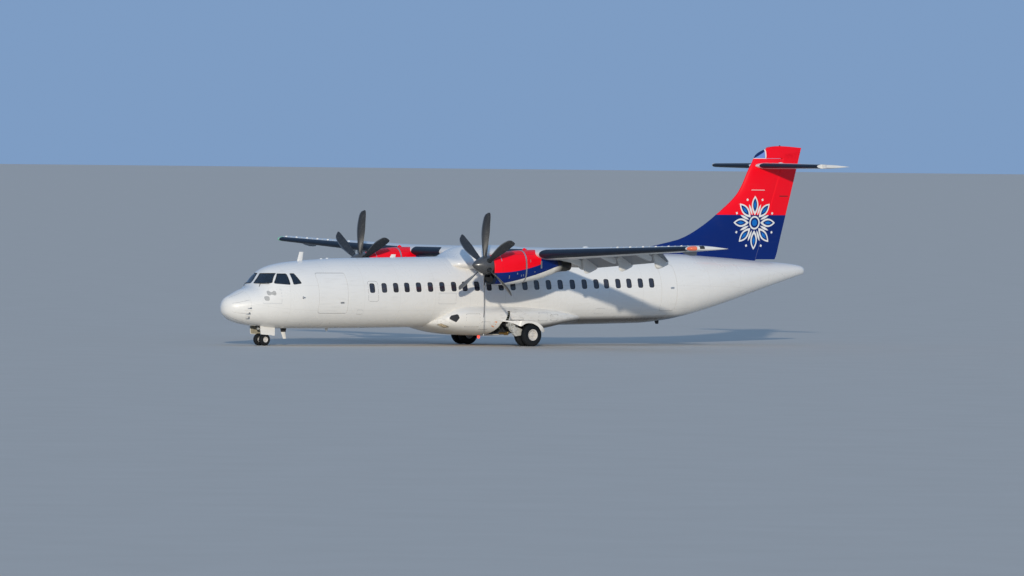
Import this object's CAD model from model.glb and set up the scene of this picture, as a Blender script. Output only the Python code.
# A twin-turboprop airliner with a high wing and a T-tail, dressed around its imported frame.
# Metres in the row frame: +X aft, +Y to the right wing tip, +Z up, wheels on z = 0.
import bisect
import collections
import math

import bpy
import bmesh
from mathutils import Matrix, Vector


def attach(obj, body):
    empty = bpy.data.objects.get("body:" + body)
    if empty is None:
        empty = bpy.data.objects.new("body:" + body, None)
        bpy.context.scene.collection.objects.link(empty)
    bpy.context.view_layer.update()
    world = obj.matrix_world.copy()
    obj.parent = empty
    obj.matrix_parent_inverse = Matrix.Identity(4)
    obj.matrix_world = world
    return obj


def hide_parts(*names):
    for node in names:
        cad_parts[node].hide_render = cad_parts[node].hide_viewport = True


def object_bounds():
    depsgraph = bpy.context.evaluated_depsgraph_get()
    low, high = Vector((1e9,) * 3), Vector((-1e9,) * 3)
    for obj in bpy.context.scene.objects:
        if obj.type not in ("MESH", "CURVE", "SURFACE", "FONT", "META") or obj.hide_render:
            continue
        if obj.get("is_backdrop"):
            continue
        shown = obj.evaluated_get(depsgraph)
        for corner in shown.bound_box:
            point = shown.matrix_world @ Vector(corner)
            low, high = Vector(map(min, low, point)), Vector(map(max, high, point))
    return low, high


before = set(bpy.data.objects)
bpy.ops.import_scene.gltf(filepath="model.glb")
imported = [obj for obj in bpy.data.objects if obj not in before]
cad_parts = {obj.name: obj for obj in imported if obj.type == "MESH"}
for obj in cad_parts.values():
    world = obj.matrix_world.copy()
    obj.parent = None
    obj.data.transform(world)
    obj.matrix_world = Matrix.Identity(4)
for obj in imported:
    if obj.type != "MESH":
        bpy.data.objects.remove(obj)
cad_low, cad_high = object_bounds()

# The view: a long lens far off the left bow, as from the far side of a runway. The optical axis points a
# little ahead of the aircraft's middle, and the camera leans by its roll.
BOW_ANGLE = math.radians(35.915)
STAND_OFF = 400.0
EYE_HEIGHT = 7.39
PITCH_DOWN = math.radians(0.749)
ROLL = math.radians(0.659)
SENSOR = 36.0
LENS = 370.7

camera_data = bpy.data.cameras.new("camera")
camera_data.sensor_width = SENSOR
camera_data.lens = LENS
camera_data.clip_end = 6000
camera = bpy.data.objects.new("camera", camera_data)
bpy.context.scene.collection.objects.link(camera)
line_of_sight = math.radians(35.95)
camera.location = (0.015 - STAND_OFF * math.sin(line_of_sight), -STAND_OFF * math.cos(line_of_sight),
                   EYE_HEIGHT)
camera.rotation_euler = (Matrix.Rotation(-BOW_ANGLE, 3, "Z")
                         @ Matrix.Rotation(math.pi / 2 - PITCH_DOWN, 3, "X")
                         @ Matrix.Rotation(ROLL, 3, "Z")).to_euler()
bpy.context.scene.camera = camera
bpy.context.scene.view_settings.view_transform = "Standard"


def add_node(tree, kind, inputs=None, **settings):
    """A shader node, with its inputs linked or set."""
    node = tree.nodes.new(kind)
    for name, value in settings.items():
        setattr(node, name, value)
    for socket, value in (inputs or {}).items():
        if isinstance(value, bpy.types.NodeSocket):
            tree.links.new(value, node.inputs[socket])
        else:
            node.inputs[socket].default_value = value
    return node


def math_node(tree, operation, a, b=0.0, clamp=False):
    return add_node(tree, "ShaderNodeMath", {0: a, 1: b}, operation=operation, use_clamp=clamp).outputs[0]


def new_material(name, roughness=0.4, metallic=0.0, **extra):
    """A material with one Principled shader; extra names its other sockets."""
    material = bpy.data.materials.new(name)
    material.use_nodes = True
    shader = material.node_tree.nodes["Principled BSDF"]
    shader.inputs["Roughness"].default_value = roughness
    shader.inputs["Metallic"].default_value = metallic
    for socket, value in extra.items():
        shader.inputs[socket.replace("_", " ")].default_value = value
    return material, material.node_tree, shader


def mix_colours(tree, amount, first, second):
    node = add_node(tree, "ShaderNodeMix", data_type="RGBA")
    for socket, value in (("Factor", amount), ("A", first), ("B", second)):
        target = next(s for s in node.inputs if s.name == socket and s.enabled)
        if isinstance(value, bpy.types.NodeSocket):
            tree.links.new(value, target)
        else:
            target.default_value = value
    return next(s for s in node.outputs if s.enabled)


def object_place(tree):
    """The place in the object's own coordinates."""
    return add_node(tree, "ShaderNodeTexCoord").outputs["Object"]


def vary_roughness(tree, shader, value, low, high):
    """Roughness from low to high as a value goes from zero to one."""
    spread_out = add_node(tree, "ShaderNodeMapRange", {0: value, 3: low, 4: high})
    tree.links.new(spread_out.outputs[0], shader.inputs["Roughness"])


def grey(value):
    return (value, value, value, 1.0)


# Floor and light: a plain pale apron under a low, soft sun ahead of the left wing, with a cool sky that
# fills the shadows.
APRON_HALF_SIZE = 3000.0
SUN_TOWARDS_BOW = math.radians(36)
SUN_HEIGHT = math.radians(12.3)

apron_mesh = bpy.data.meshes.new("apron")
apron_corners = [(-1, -1), (1, -1), (1, 1), (-1, 1)]
apron_mesh.from_pydata([(x * APRON_HALF_SIZE, y * APRON_HALF_SIZE, 0) for x, y in apron_corners], [],
                       [(0, 1, 2, 3)])
apron = bpy.data.objects.new("apron", apron_mesh)
bpy.context.scene.collection.objects.link(apron)
apron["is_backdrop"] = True
apron_paint, tree, shader = new_material("apron", roughness=0.9)
place = add_node(tree, "ShaderNodeTexCoord")
mottle = add_node(tree, "ShaderNodeTexNoise",
                  {"Vector": place.outputs["Object"], "Scale": 0.4, "Detail": 6.0})
tree.links.new(mix_colours(tree, mottle.outputs[0], (0.55, 0.50, 0.43, 1.0), (0.61, 0.56, 0.49, 1.0)),
               shader.inputs["Base Color"])
apron.data.materials.append(apron_paint)

sun_data = bpy.data.lights.new("sun", "SUN")
sun_data.energy = 2.62
sun_data.color = (1.0, 0.915, 0.77)
sun_data.angle = math.radians(1.2)
sun = bpy.data.objects.new("sun", sun_data)
sun.rotation_euler = (Matrix.Rotation(-SUN_TOWARDS_BOW, 3, "Z")
                      @ Matrix.Rotation(math.pi / 2 - SUN_HEIGHT, 3, "X")).to_euler()
bpy.context.scene.collection.objects.link(sun)

world = bpy.data.worlds.new("sky")
world.use_nodes = True
sky = world.node_tree.nodes["Background"]
sky.inputs["Color"].default_value = (0.38, 0.61, 1.0, 1.0)
sky.inputs["Strength"].default_value = 0.55
bpy.context.scene.world = world


# Hull: a pressurised barrel of aluminium sheet riveted to frames and stringers, painted a warm white. Its
# sections butt together at frames, and behind the nose bulkhead it is hollow as far as the tail bay.
BOW_X = cad_low.x
SKIN = 0.08
NOSE_JOINT, COCKPIT_JOINT, CARGO_JOINT, CABIN_JOINT = 0.80, 3.10, 5.00, 19.00
BULKHEAD, TAIL_END = 20.50, 27.17
CABIN_FLOOR, FLOOR_SLOPE = 1.19, 0.0145
WINDOW_STATIONS = [5.84, 6.39, 6.92, 7.43, 7.97, 8.51, 9.05, 9.59, 10.10, 10.66, 11.22, 11.78, 12.33, 12.89,
                   13.44, 14.00, 14.55, 15.12, 15.68, 16.24, 16.72, 17.27, 17.79, 18.33, 18.86]
SIDES = (("left", -1), ("right", 1))
BOW_BLUNTNESS = 1.2
HULL_COUNT = 112

# station, half width, crown, keel, height of the widest point
BODY = [
    (0.00, 0.000, 1.430, 1.430, 1.430),
    (0.05, 0.200, 1.630, 1.210, 1.420),
    (0.18, 0.370, 1.790, 1.080, 1.430),
    (0.45, 0.570, 1.920, 0.930, 1.450),
    (0.80, 0.760, 2.075, 0.820, 1.490),
    (1.20, 0.940, 2.215, 0.750, 1.550),
    (1.42, 1.020, 2.420, 0.715, 1.600),
    (1.68, 1.110, 2.750, 0.680, 1.660),
    (1.97, 1.190, 2.925, 0.660, 1.710),
    (2.40, 1.280, 3.045, 0.640, 1.760),
    (3.00, 1.360, 3.130, 0.640, 1.800),
    (4.00, 1.402, 3.205, 0.640, 1.830),
    (5.00, 1.432, 3.265, 0.645, 1.840),
    (8.10, 1.432, 3.315, 0.680, 1.870),
    (19.00, 1.432, 3.480, 0.840, 2.050),
    (20.16, 1.430, 3.495, 0.940, 2.100),
    (21.00, 1.400, 3.490, 1.080, 2.200),
    (22.00, 1.320, 3.430, 1.310, 2.350),
    (23.32, 1.140, 3.345, 1.660, 2.500),
    (25.04, 0.780, 3.225, 2.150, 2.700),
    (26.20, 0.480, 3.150, 2.470, 2.820),
    (26.90, 0.270, 3.070, 2.660, 2.870),
    (27.10, 0.170, 3.010, 2.710, 2.870),
    (27.15, 0.100, 2.960, 2.770, 2.870),
    (27.17, 0.000, 2.870, 2.870, 2.870),
]


def smooth_table(rows):
    """A function that runs a smooth line without overshoot through each column of a table."""
    keys = [row[0] for row in rows]
    columns = list(zip(*rows))[1:]
    tangents = []
    for column in columns:
        rise = [(b - a) / (q - p) for a, b, p, q in zip(column, column[1:], keys, keys[1:])]
        inner = [2 * a * b / (a + b) if a * b > 0 else 0.0 for a, b in zip(rise, rise[1:])]
        tangents.append([rise[0], *inner, rise[-1]])

    def value(key):
        k = min(max(bisect.bisect_right(keys, key) - 1, 0), len(keys) - 2)
        width = keys[k + 1] - keys[k]
        t = min(max((key - keys[k]) / width, 0.0), 1.0)
        near, far = (1 + 2 * t) * (1 - t) ** 2, t * t * (3 - 2 * t)
        lean, tilt = width * t * (1 - t) ** 2, width * t * t * (t - 1)
        return [near * column[k] + far * column[k + 1] + lean * slope[k] + tilt * slope[k + 1]
                for column, slope in zip(columns, tangents)]
    return value


def spread(first, last, step):
    """Evenly spaced values from first to last, about a step apart."""
    count = max(1, round(abs(last - first) / step))
    return [first + (last - first) * k / count for k in range(count + 1)]


def full_turn(count):
    """Evenly spaced angles once round."""
    return [2 * math.pi * k / count for k in range(count)]


def half_turn(count):
    """Evenly spaced angles over half a turn, both ends included."""
    return [math.pi * k / count for k in range(count + 1)]


class Shell:
    """A smooth skin through cross-sections, each rounded by one power above its widest height and by
    another below; a power of two is an ellipse and more is squarer."""

    def __init__(self, rows, lower_power=2.4, centre=0.0, key=lambda x: x, upper_power=2.0):
        self.key, self.centre, self.powers = key, centre, (upper_power, lower_power)
        self.section = smooth_table([(key(row[0]), *row[1:]) for row in rows])

    def ring(self, x, grow=0.0, count=HULL_COUNT):
        """The cross-section at a station, grown outward, as points from the crown round."""
        half, top, bottom, widest = self.section(self.key(x))
        points = []
        for angle in full_turn(count):
            up, across = math.cos(angle), math.sin(angle)
            power = 2 / self.powers[up < -1e-9]
            reach = (top if up >= 0 else -bottom) + grow - (widest if up >= 0 else -widest)
            points.append((x, self.centre + (half + grow) * math.copysign(abs(across) ** power, across),
                           widest + reach * math.copysign(abs(up) ** power, up)))
        return points

    def excess(self, x, y, z):
        """Below zero inside the skin, above it outside."""
        half, top, bottom, widest = self.section(self.key(x))
        up = (z - widest) / max(top - widest if z >= widest else widest - bottom, 1e-4)
        power = self.powers[z < widest]
        return abs((y - self.centre) / max(half, 1e-4)) ** power + abs(up) ** power - 1

    def normal(self, point):
        """The outward direction of the skin at a point."""
        step = 0.002
        x, y, z = point
        return Vector([self.excess(x + a, y + b, z + c) - self.excess(x - a, y - b, z - c)
                       for a, b, c in ((step, 0, 0), (0, step, 0), (0, 0, step))]).normalized()

    def side(self, x, z):
        """The distance of the skin from the middle at a height."""
        half, top, bottom, widest = self.section(self.key(x))
        up = (z - widest) / (top - widest) if z >= widest else (widest - z) / (widest - bottom)
        power = self.powers[z < widest]
        return half * max(1 - min(up, 1.0) ** power, 0.0) ** (1 / power)

    def station(self, y, z, low=0.3, high=3.0):
        """Where a line along the aircraft enters the skin."""
        for _ in range(30):
            middle = (low + high) / 2
            low, high = (low, middle) if self.excess(middle, y, z) < 0 else (middle, high)
        return high

    def seen_from_side(self, side):
        """Finds the skin's point at a station and a height."""
        return lambda x, z: (x, self.centre + side * self.side(x, z), z)

    def seen_from_bow(self, side):
        """Finds the skin's point at a distance from the middle and a height."""
        return lambda y, z: (self.station(side * y, z), side * y, z)

    def lifted(self, point, rise):
        """A point of the skin moved outward."""
        return tuple(Vector(point) + self.normal(point) * rise)

    def length(self, x0, x1, step=0.25, wall=0.0, grow=0.0):
        """The skin between two stations, grown outward, solid or as a tube with a wall."""
        stations = spread(x0, x1, step)
        rings = [self.ring(x, grow) for x in stations]
        if wall == 0.0:
            return loft(rings)
        return loft(rings + [self.ring(x, grow - wall) for x in reversed(stations)], closed=True)

    def plate(self, outline, seen, top, bottom, hole=None, rings=5):
        """A plate that follows the skin under an outline, with its faces lifted by top and bottom.
        With a hole, which has as many points, it is a frame."""
        middle = [sum(axis) / len(outline) for axis in zip(*outline)]
        inner = divided(hole, outline) if hole else [middle] * len(divided(outline, outline))
        outline = divided(outline, outline)
        faces = []
        for rise in (top, bottom):
            rows = [[self.lifted(seen(*[q + (p - q) * k / rings for p, q in zip(far, near)]), rise)
                     for far, near in zip(outline, inner)] for k in range(rings + 1)]
            faces.append(rows)
        return loft(faces[0] + faces[1][::-1], closed=hole is not None)


def divided(outline, like, longest=0.12):
    """An outline with its edges divided into as many parts as another's long edges need."""
    points = []
    for k, start in enumerate(outline):
        after = (k + 1) % len(outline)
        parts = max(1, round(math.dist(like[k], like[after]) / longest))
        points += [tuple(p + (q - p) * s / parts for p, q in zip(start, outline[after]))
                   for s in range(parts)]
    return points


def loft(rings, closed=False):
    """A solid through rings of equally many points. Closed, its last ring meets its first; otherwise its
    ends are filled."""
    count = len(rings[0])
    points = [point for ring in rings for point in ring]
    faces = []
    for r in range(len(rings) if closed else len(rings) - 1):
        here, there = r * count, (r + 1) % len(rings) * count
        for k in range(count):
            after = (k + 1) % count
            faces.append((here + k, here + after, there + after, there + k))
    if not closed:
        faces.append(tuple(range(count)))
        faces.append(tuple(range(len(points) - count, len(points))))
    return points, faces


def prism(outline, axis, low, high):
    """A solid with an outline in the plane across an axis, between two places along it."""
    return loft([[(*point[:axis], place, *point[axis:]) for point in outline] for place in (low, high)])


def block(low, high):
    """A plain block, as a tool or the core of a bevelled part."""
    (x0, y0, z0), (x1, y1, z1) = low, high
    return prism([(x0, y0), (x1, y0), (x1, y1), (x0, y1)], 2, z0, z1)


def side_block(side, xs, ys, zs):
    """A block on one side of the middle, by its ranges of station, distance from the middle and height."""
    y0, y1 = sorted(side * y for y in ys)
    return block((xs[0], y0, zs[0]), (xs[1], y1, zs[1]))


def rounded(outline, radius, steps=5):
    """An outline with an arc at each corner. A list of radii rounds each corner by its own."""
    radii = radius if isinstance(radius, (list, tuple)) else [radius] * len(outline)
    points = []
    for k, corner in enumerate(outline):
        corner = Vector(corner)
        before = (Vector(outline[k - 1]) - corner).normalized()
        after = (Vector(outline[(k + 1) % len(outline)]) - corner).normalized()
        half = before.angle(after) / 2
        reach = radii[k] / math.tan(half)
        start, end = corner + before * reach, corner + after * reach
        for s in range(steps + 1):
            t = s / steps
            point = start * (1 - t) ** 2 + corner * 2 * t * (1 - t) + end * t * t
            points.append(tuple(point))
    return points


def rectangle(x0, x1, z0, z1):
    return [(x0, z0), (x1, z0), (x1, z1), (x0, z1)]


def scaled(outline, amount):
    """An outline grown outward by a distance on each of its sides, or shrunk by a negative one."""
    count = len(outline)
    area = sum(a[0] * b[1] - b[0] * a[1] for a, b in zip(outline, outline[1:] + outline[:1]))
    grown = []
    for k, point in enumerate(outline):
        before = Vector(point) - Vector(outline[k - 1])
        after = Vector(outline[(k + 1) % count]) - Vector(point)
        bisector = before.normalized() + after.normalized()
        out = Vector((bisector.y, -bisector.x)).normalized() * math.copysign(1, area)
        share = max(0.5, abs(out.x * before.y - out.y * before.x) / max(before.length, 1e-9))
        grown.append(tuple(Vector(point) + out * amount / share))
    return grown


def mesh_from(name, parts):
    """One mesh from several solids, shifted from stations into the row frame, with its faces outward."""
    points, faces = [], []
    for part_points, part_faces in parts:
        first = len(points)
        points += [(x + BOW_X, y, z) for x, y, z in part_points]
        faces += [[first + k for k in face] for face in part_faces]
    mesh = bpy.data.meshes.new(name)
    mesh.from_pydata(points, [], faces)
    edit = bmesh.new()
    edit.from_mesh(mesh)
    bmesh.ops.remove_doubles(edit, verts=edit.verts, dist=0.00002)
    bmesh.ops.recalc_face_normals(edit, faces=edit.faces)
    edit.to_mesh(mesh)
    edit.free()
    return mesh


def carve(part, tools, operation="DIFFERENCE"):
    """A solid cut by, joined with or kept within others."""
    stock, cutter = [bpy.data.objects.new(name, mesh_from(name, solids))
                     for name, solids in (("stock", [part]), ("cutter", tools))]
    for thing in (stock, cutter):
        bpy.context.scene.collection.objects.link(thing)
    boolean = stock.modifiers.new("carve", "BOOLEAN")
    boolean.object, boolean.operation, boolean.solver = cutter, operation, "EXACT"
    result = stock.evaluated_get(bpy.context.evaluated_depsgraph_get()).to_mesh()
    points = [(v.co.x - BOW_X, v.co.y, v.co.z) for v in result.vertices]
    faces = [tuple(face.vertices) for face in result.polygons]
    for thing in (stock, cutter):
        bpy.data.meshes.remove(thing.data)
    return points, faces


def skin_normals(mesh, shell):
    """Smooth shading over the faces that lie on a shell, flat shading on those that cut through it."""
    across = {}
    for vertex in mesh.vertices:
        spot = (vertex.co.x - BOW_X, vertex.co.y, vertex.co.z)
        across[vertex.index] = shell.normal(spot) if abs(shell.excess(*spot)) < 0.03 else None
    normals = [None] * len(mesh.loops)
    for face in mesh.polygons:
        on_skin = all(across[v] is not None and across[v].dot(face.normal) > 0.8 for v in face.vertices)
        for loop in face.loop_indices:
            normals[loop] = across[mesh.loops[loop].vertex_index] if on_skin else face.normal.copy()
    mesh.normals_split_custom_set(normals)


def make_piece(name, parts, material, body="airframe", stands_for=(), crease=35, shell=None, bevel=0.0,
               turn=None):
    """A piece of the aircraft from solids, with its material, the body that it rides on, its finish slot
    and the frame's nodes that it stands for."""
    mesh = mesh_from(name, parts)
    if turn is not None:
        mesh.transform(turn)
    for face in mesh.polygons:
        face.use_smooth = True
    mesh.set_sharp_from_angle(angle=math.radians(crease))
    if shell is not None:
        skin_normals(mesh, shell)
    mesh.materials.append(material)
    piece = bpy.data.objects.new(name, mesh)
    bpy.context.scene.collection.objects.link(piece)
    if bevel > 0.0:
        edges = piece.modifiers.new("edges", "BEVEL")
        edges.width, edges.segments, edges.limit_method = bevel, 2, "ANGLE"
    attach(piece, body)
    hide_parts(*stands_for)
    return piece


def new_group(name, inputs, outputs):
    """A shader node group with named sockets, and the two nodes that hold them."""
    group = bpy.data.node_groups.new(name, "ShaderNodeTree")
    for (label, kind), side in [*((s, "INPUT") for s in inputs), *((s, "OUTPUT") for s in outputs)]:
        group.interface.new_socket(name=label, in_out=side, socket_type=f"NodeSocket{kind}")
    return group, group.nodes.new("NodeGroupInput").outputs, group.nodes.new("NodeGroupOutput").inputs


def place_group(tree, group, **inputs):
    return add_node(tree, "ShaderNodeGroup", {k.replace("_", " "): v for k, v in inputs.items()},
                    node_tree=group).outputs


def near_multiple(tree, value, pitch, width):
    """One at each multiple of a pitch, falling to zero a width away from it."""
    away = add_node(tree, "ShaderNodeMath", {0: value, 1: math_node(tree, "MULTIPLY", pitch, 0.5)},
                    operation="PINGPONG").outputs[0]
    return math_node(tree, "SUBTRACT", 1.0, math_node(tree, "DIVIDE", away, width), clamp=True)


# Sheet joints and rivet rows: lap seams along and across, each with a row of rivets beside it
panels, given, taken = new_group("sheet joints",
                                 [("Along", "Float"), ("Across", "Float"), ("Pitch Along", "Float"),
                                  ("Pitch Across", "Float")],
                                 [("Seam", "Float"), ("Height", "Float")])
SEAM_HALF_WIDTH, RIVET_PITCH, RIVET_RADIUS = 0.005, 0.05, 0.007
seam = math_node(panels, "MAXIMUM",
                 near_multiple(panels, given["Along"], given["Pitch Along"], SEAM_HALF_WIDTH),
                 near_multiple(panels, given["Across"], given["Pitch Across"], SEAM_HALF_WIDTH))
beside = math_node(panels, "ADD", given["Along"], 3 * SEAM_HALF_WIDTH)
rivets = math_node(panels, "MULTIPLY",
                   near_multiple(panels, beside, given["Pitch Along"], RIVET_RADIUS),
                   near_multiple(panels, given["Across"], RIVET_PITCH, RIVET_RADIUS))
panels.links.new(seam, taken["Seam"])
panels.links.new(math_node(panels, "SUBTRACT", math_node(panels, "MULTIPLY", rivets, 0.5), seam),
                 taken["Height"])

# Weather: broad patches of haze, streaks drawn out by the airflow, and the slight ripple of thin sheet
weather, given, taken = new_group("weather", [("Place", "Vector"), ("Streak Length", "Float")],
                                  [("Haze", "Float"), ("Streaks", "Float"), ("Ripple", "Float")])
haze = add_node(weather, "ShaderNodeTexNoise", {"Vector": given["Place"], "Scale": 0.9, "Detail": 5.0,
                                                "Roughness": 0.6})
drawn = add_node(weather, "ShaderNodeSeparateXYZ", {0: given["Place"]})
stretched = add_node(weather, "ShaderNodeCombineXYZ", {
    0: math_node(weather, "DIVIDE", drawn.outputs[0], given["Streak Length"]),
    1: drawn.outputs[1], 2: drawn.outputs[2]})
streaks = add_node(weather, "ShaderNodeTexNoise",
                   {"Vector": stretched.outputs[0], "Scale": 14.0, "Detail": 4.0})
ripple = add_node(weather, "ShaderNodeTexNoise", {"Vector": given["Place"], "Scale": 3.2, "Detail": 1.0})
for source, socket, low, high in ((haze, "Haze", 0.42, 0.72), (streaks, "Streaks", 0.5, 0.75),
                                  (ripple, "Ripple", 0.0, 1.0)):
    spread_out = add_node(weather, "ShaderNodeMapRange", {0: source.outputs[0], 1: low, 2: high})
    weather.links.new(spread_out.outputs[0], taken[socket])


def painted(name, colour, roughness=0.3, joints=None, dirt=0.25, grime=(0.16, 0.14, 0.12, 1.0), streak=9.0,
            coat=0.3, specular=0.5):
    """Gloss paint over sheet or laminate. colour is a colour, or a function that lays out zones of colour
    from the place's x, y and z. joints is the pitch of sheet joints along and round the piece."""
    material, tree, shader = new_material(name, roughness, Coat_Weight=coat, Coat_Roughness=0.08,
                                          Specular_IOR_Level=specular)
    place = object_place(tree)
    x, y, z = add_node(tree, "ShaderNodeSeparateXYZ", {0: place}).outputs
    base = colour(tree, x, y, z) if callable(colour) else colour
    worn = place_group(tree, weather, Place=place, Streak_Length=streak)
    mask = math_node(tree, "MULTIPLY", math_node(tree, "MULTIPLY", worn["Haze"], worn["Streaks"]), dirt)
    base = mix_colours(tree, mask, base, grime)
    height = worn["Ripple"]
    if joints is not None:
        around = math_node(tree, "MULTIPLY", math_node(
            tree, "ARCTAN2", y, math_node(tree, "SUBTRACT", z, HULL_AXIS)), HULL_GIRTH)
        sheets = place_group(tree, panels, Along=x, Across=around, Pitch_Along=joints[0],
                             Pitch_Across=joints[1])
        base = mix_colours(tree, math_node(tree, "MULTIPLY", sheets["Seam"], 0.35), base, grime)
        height = math_node(tree, "ADD", height, math_node(tree, "MULTIPLY", sheets["Height"], 0.5))
    tree.links.new(base, shader.inputs["Base Color"])
    vary_roughness(tree, shader, worn["Haze"], roughness - 0.04, roughness + 0.1)
    bump = add_node(tree, "ShaderNodeBump", {"Height": height, "Strength": 0.2, "Distance": 0.004})
    tree.links.new(bump.outputs[0], shader.inputs["Normal"])
    return material


HULL_AXIS, HULL_GIRTH = 1.95, 1.42
WARM_WHITE = (0.78, 0.765, 0.73, 1.0)
# the depth below the line over which the film builds up, its run aft, its cover and its colour
FILM_DEPTH, FILM_RUN, FILM_COVER, FILM_COLOUR = 0.16, 0.5, 0.95, (0.045, 0.045, 0.048, 1.0)


def keel_film(start, level, slope):
    """White paint with a film of oil and road dirt below a line that rises aft of the wheels."""
    def zones(tree, x, y, z):
        run = math_node(tree, "SUBTRACT", x, start + BOW_X)
        line = math_node(tree, "ADD", math_node(tree, "MULTIPLY", run, slope), level)
        low = math_node(tree, "DIVIDE", math_node(tree, "SUBTRACT", line, z), FILM_DEPTH, clamp=True)
        aft = math_node(tree, "DIVIDE", run, FILM_RUN, clamp=True)
        mask = math_node(tree, "MULTIPLY", math_node(tree, "MULTIPLY", low, aft), FILM_COVER)
        return mix_colours(tree, mask, WARM_WHITE, FILM_COLOUR)
    return zones


hull_paint = painted("white hull paint", keel_film(12.9, 1.09, 0.0147), joints=(1.62, 0.95), dirt=0.16)


def bow_key(x):
    """Runs as the square root of the station near the tip, so that the nose comes out round."""
    return 2 * math.sqrt(BOW_BLUNTNESS * max(x, 0.0)) if x < BOW_BLUNTNESS else x + BOW_BLUNTNESS


hull = Shell(BODY, key=bow_key)


def floor_height(x):
    return CABIN_FLOOR + FLOOR_SLOPE * (x - CARGO_JOINT)


# the first window's height, the row's rise to the last, and a window's half width, half height and corner
WINDOW_HEIGHT, WINDOW_RISE, WINDOW_HALF, WINDOW_TALL, WINDOW_CORNER = 2.17, 0.22, 0.12, 0.18, 0.09


def window_outline(x, grow=0.0):
    """A cabin window, upright with round corners, level with its row."""
    first, last = WINDOW_STATIONS[0], WINDOW_STATIONS[-1]
    centre = WINDOW_HEIGHT + WINDOW_RISE * (x - first) / (last - first)
    pane = rectangle(x - WINDOW_HALF, x + WINDOW_HALF, centre - WINDOW_TALL, centre + WINDOW_TALL)
    return scaled(rounded(pane, WINDOW_CORNER), grow)


DOOR_GAP = 0.010
# station range, sill and head, side, corner radius
PASSENGER_DOOR = ((19.33, 20.05), (1.33, 3.08), -1, 0.12)
CARGO_DOOR = ((3.45, 4.73), (1.23, 2.72), -1, 0.09)
SERVICE_DOOR = ((19.40, 20.01), (1.48, 2.72), 1, 0.10)


def door_outline(door, grow=0.0):
    (x0, x1), (sill, head), _, radius = door
    return scaled(rounded(rectangle(x0, x1, sill, head), radius), grow)


def door_tool(door, grow):
    side = door[2]
    return prism(door_outline(door, grow), 1, side * 0.95, side * 1.7)


# the step between the barrel's rings, and how far a pane lies below the skin
SHELL_STEP, GLASS_SEAT = 0.25, 0.012
# corners of the panes: (distance from the middle, height) on the windscreen, (station, height) on the sides
SCREEN = rounded([(0.070, 2.320), (0.865, 2.335), (0.665, 2.715), (0.070, 2.700)], 0.045)
SIDE_PANES = [rounded([(1.69, 2.325), (1.97, 2.70), (2.30, 2.70), (2.30, 2.28)], 0.05),
              rounded([(2.41, 2.285), (2.41, 2.71), (2.59, 2.71), (2.77, 2.33)], 0.05)]
NOSE_BAY = ((1.35, -0.33, 0.0), (2.25, 0.33, 1.25))

screens = [prism([(side * y, z) for y, z in SCREEN], 0, 0.9, 2.1) for _, side in SIDES]
side_panes = [prism(outline, 1, side * 0.6, side * 1.6) for _, side in SIDES for outline in SIDE_PANES]
nose_shell = hull.length(NOSE_JOINT, COCKPIT_JOINT, 0.06, wall=0.05)
for tool in (block(*NOSE_BAY), *screens, *side_panes):
    nose_shell = carve(nose_shell, [tool])
make_piece("nose_skin", [nose_shell], hull_paint, stands_for=["nose_section"], shell=hull)

front_shell = carve(hull.length(COCKPIT_JOINT, CARGO_JOINT, 0.1, wall=SKIN),
                    [door_tool(CARGO_DOOR, DOOR_GAP)])
make_piece("front_skin", [front_shell], hull_paint, stands_for=["front_fuselage"], shell=hull)

windows = [prism(window_outline(x), 1, side * 1.0, side * 1.7) for x in WINDOW_STATIONS for _, side in SIDES]
centre_shell = carve(hull.length(CARGO_JOINT, CABIN_JOINT, SHELL_STEP, wall=0.05), windows)
make_piece("centre_skin", [centre_shell], hull_paint, stands_for=["centre_fuselage"],
           shell=hull)

rear_shell = carve(hull.length(CABIN_JOINT, 26.6, 0.12, wall=SKIN),
                   [door_tool(PASSENGER_DOOR, DOOR_GAP), door_tool(SERVICE_DOOR, 0.004)])
tail_tip = hull.length(26.6, TAIL_END, 0.012)
make_piece("rear_skin", [rear_shell, tail_tip], hull_paint, stands_for=["rear_fuselage"],
           shell=hull)

# Radome: a glass-fibre shell over the radar, hinged at its top and held by a ring of screws. Metal strips
# on its skin lead lightning back to the hull.
DIVERTERS = 8
RADOME_GAP = 0.004
radome_paint = painted("white radome paint", (0.76, 0.745, 0.71, 1.0), roughness=0.38, dirt=0.35, coat=0.15)
tip = [hull.ring(BOW_BLUNTNESS * (share / 2) ** 2)
       for share in spread(0.0, 2 * math.sqrt((NOSE_JOINT - RADOME_GAP) / BOW_BLUNTNESS), 0.05)]
make_piece("radome_shell", [loft(tip)], radome_paint, stands_for=["radome"], shell=hull)


def bar(start, end, radius, end_radius=None, count=16):
    """A round bar or cone between two points."""
    start, end = Vector(start), Vector(end)
    along = (end - start).normalized()
    first = along.orthogonal().normalized()
    second = along.cross(first)
    return loft([[tuple(centre + (first * math.cos(a) + second * math.sin(a)) * size)
                  for a in full_turn(count)]
                 for centre, size in ((start, radius), (end, radius if end_radius is None else end_radius))])


def pipe(points, radius, count=10):
    """A round bar bent through a list of points, its sections square to the path."""
    points = [Vector(point) for point in points]
    rings = []
    across = None
    for k, point in enumerate(points):
        along = (points[min(k + 1, len(points) - 1)] - points[max(k - 1, 0)]).normalized()
        across = along.orthogonal() if across is None else across - along * across.dot(along)
        across.normalize()
        other = along.cross(across)
        rings.append([tuple(point + (across * math.cos(a) + other * math.sin(a)) * radius)
                      for a in full_turn(count)])
    return loft(rings)


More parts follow.
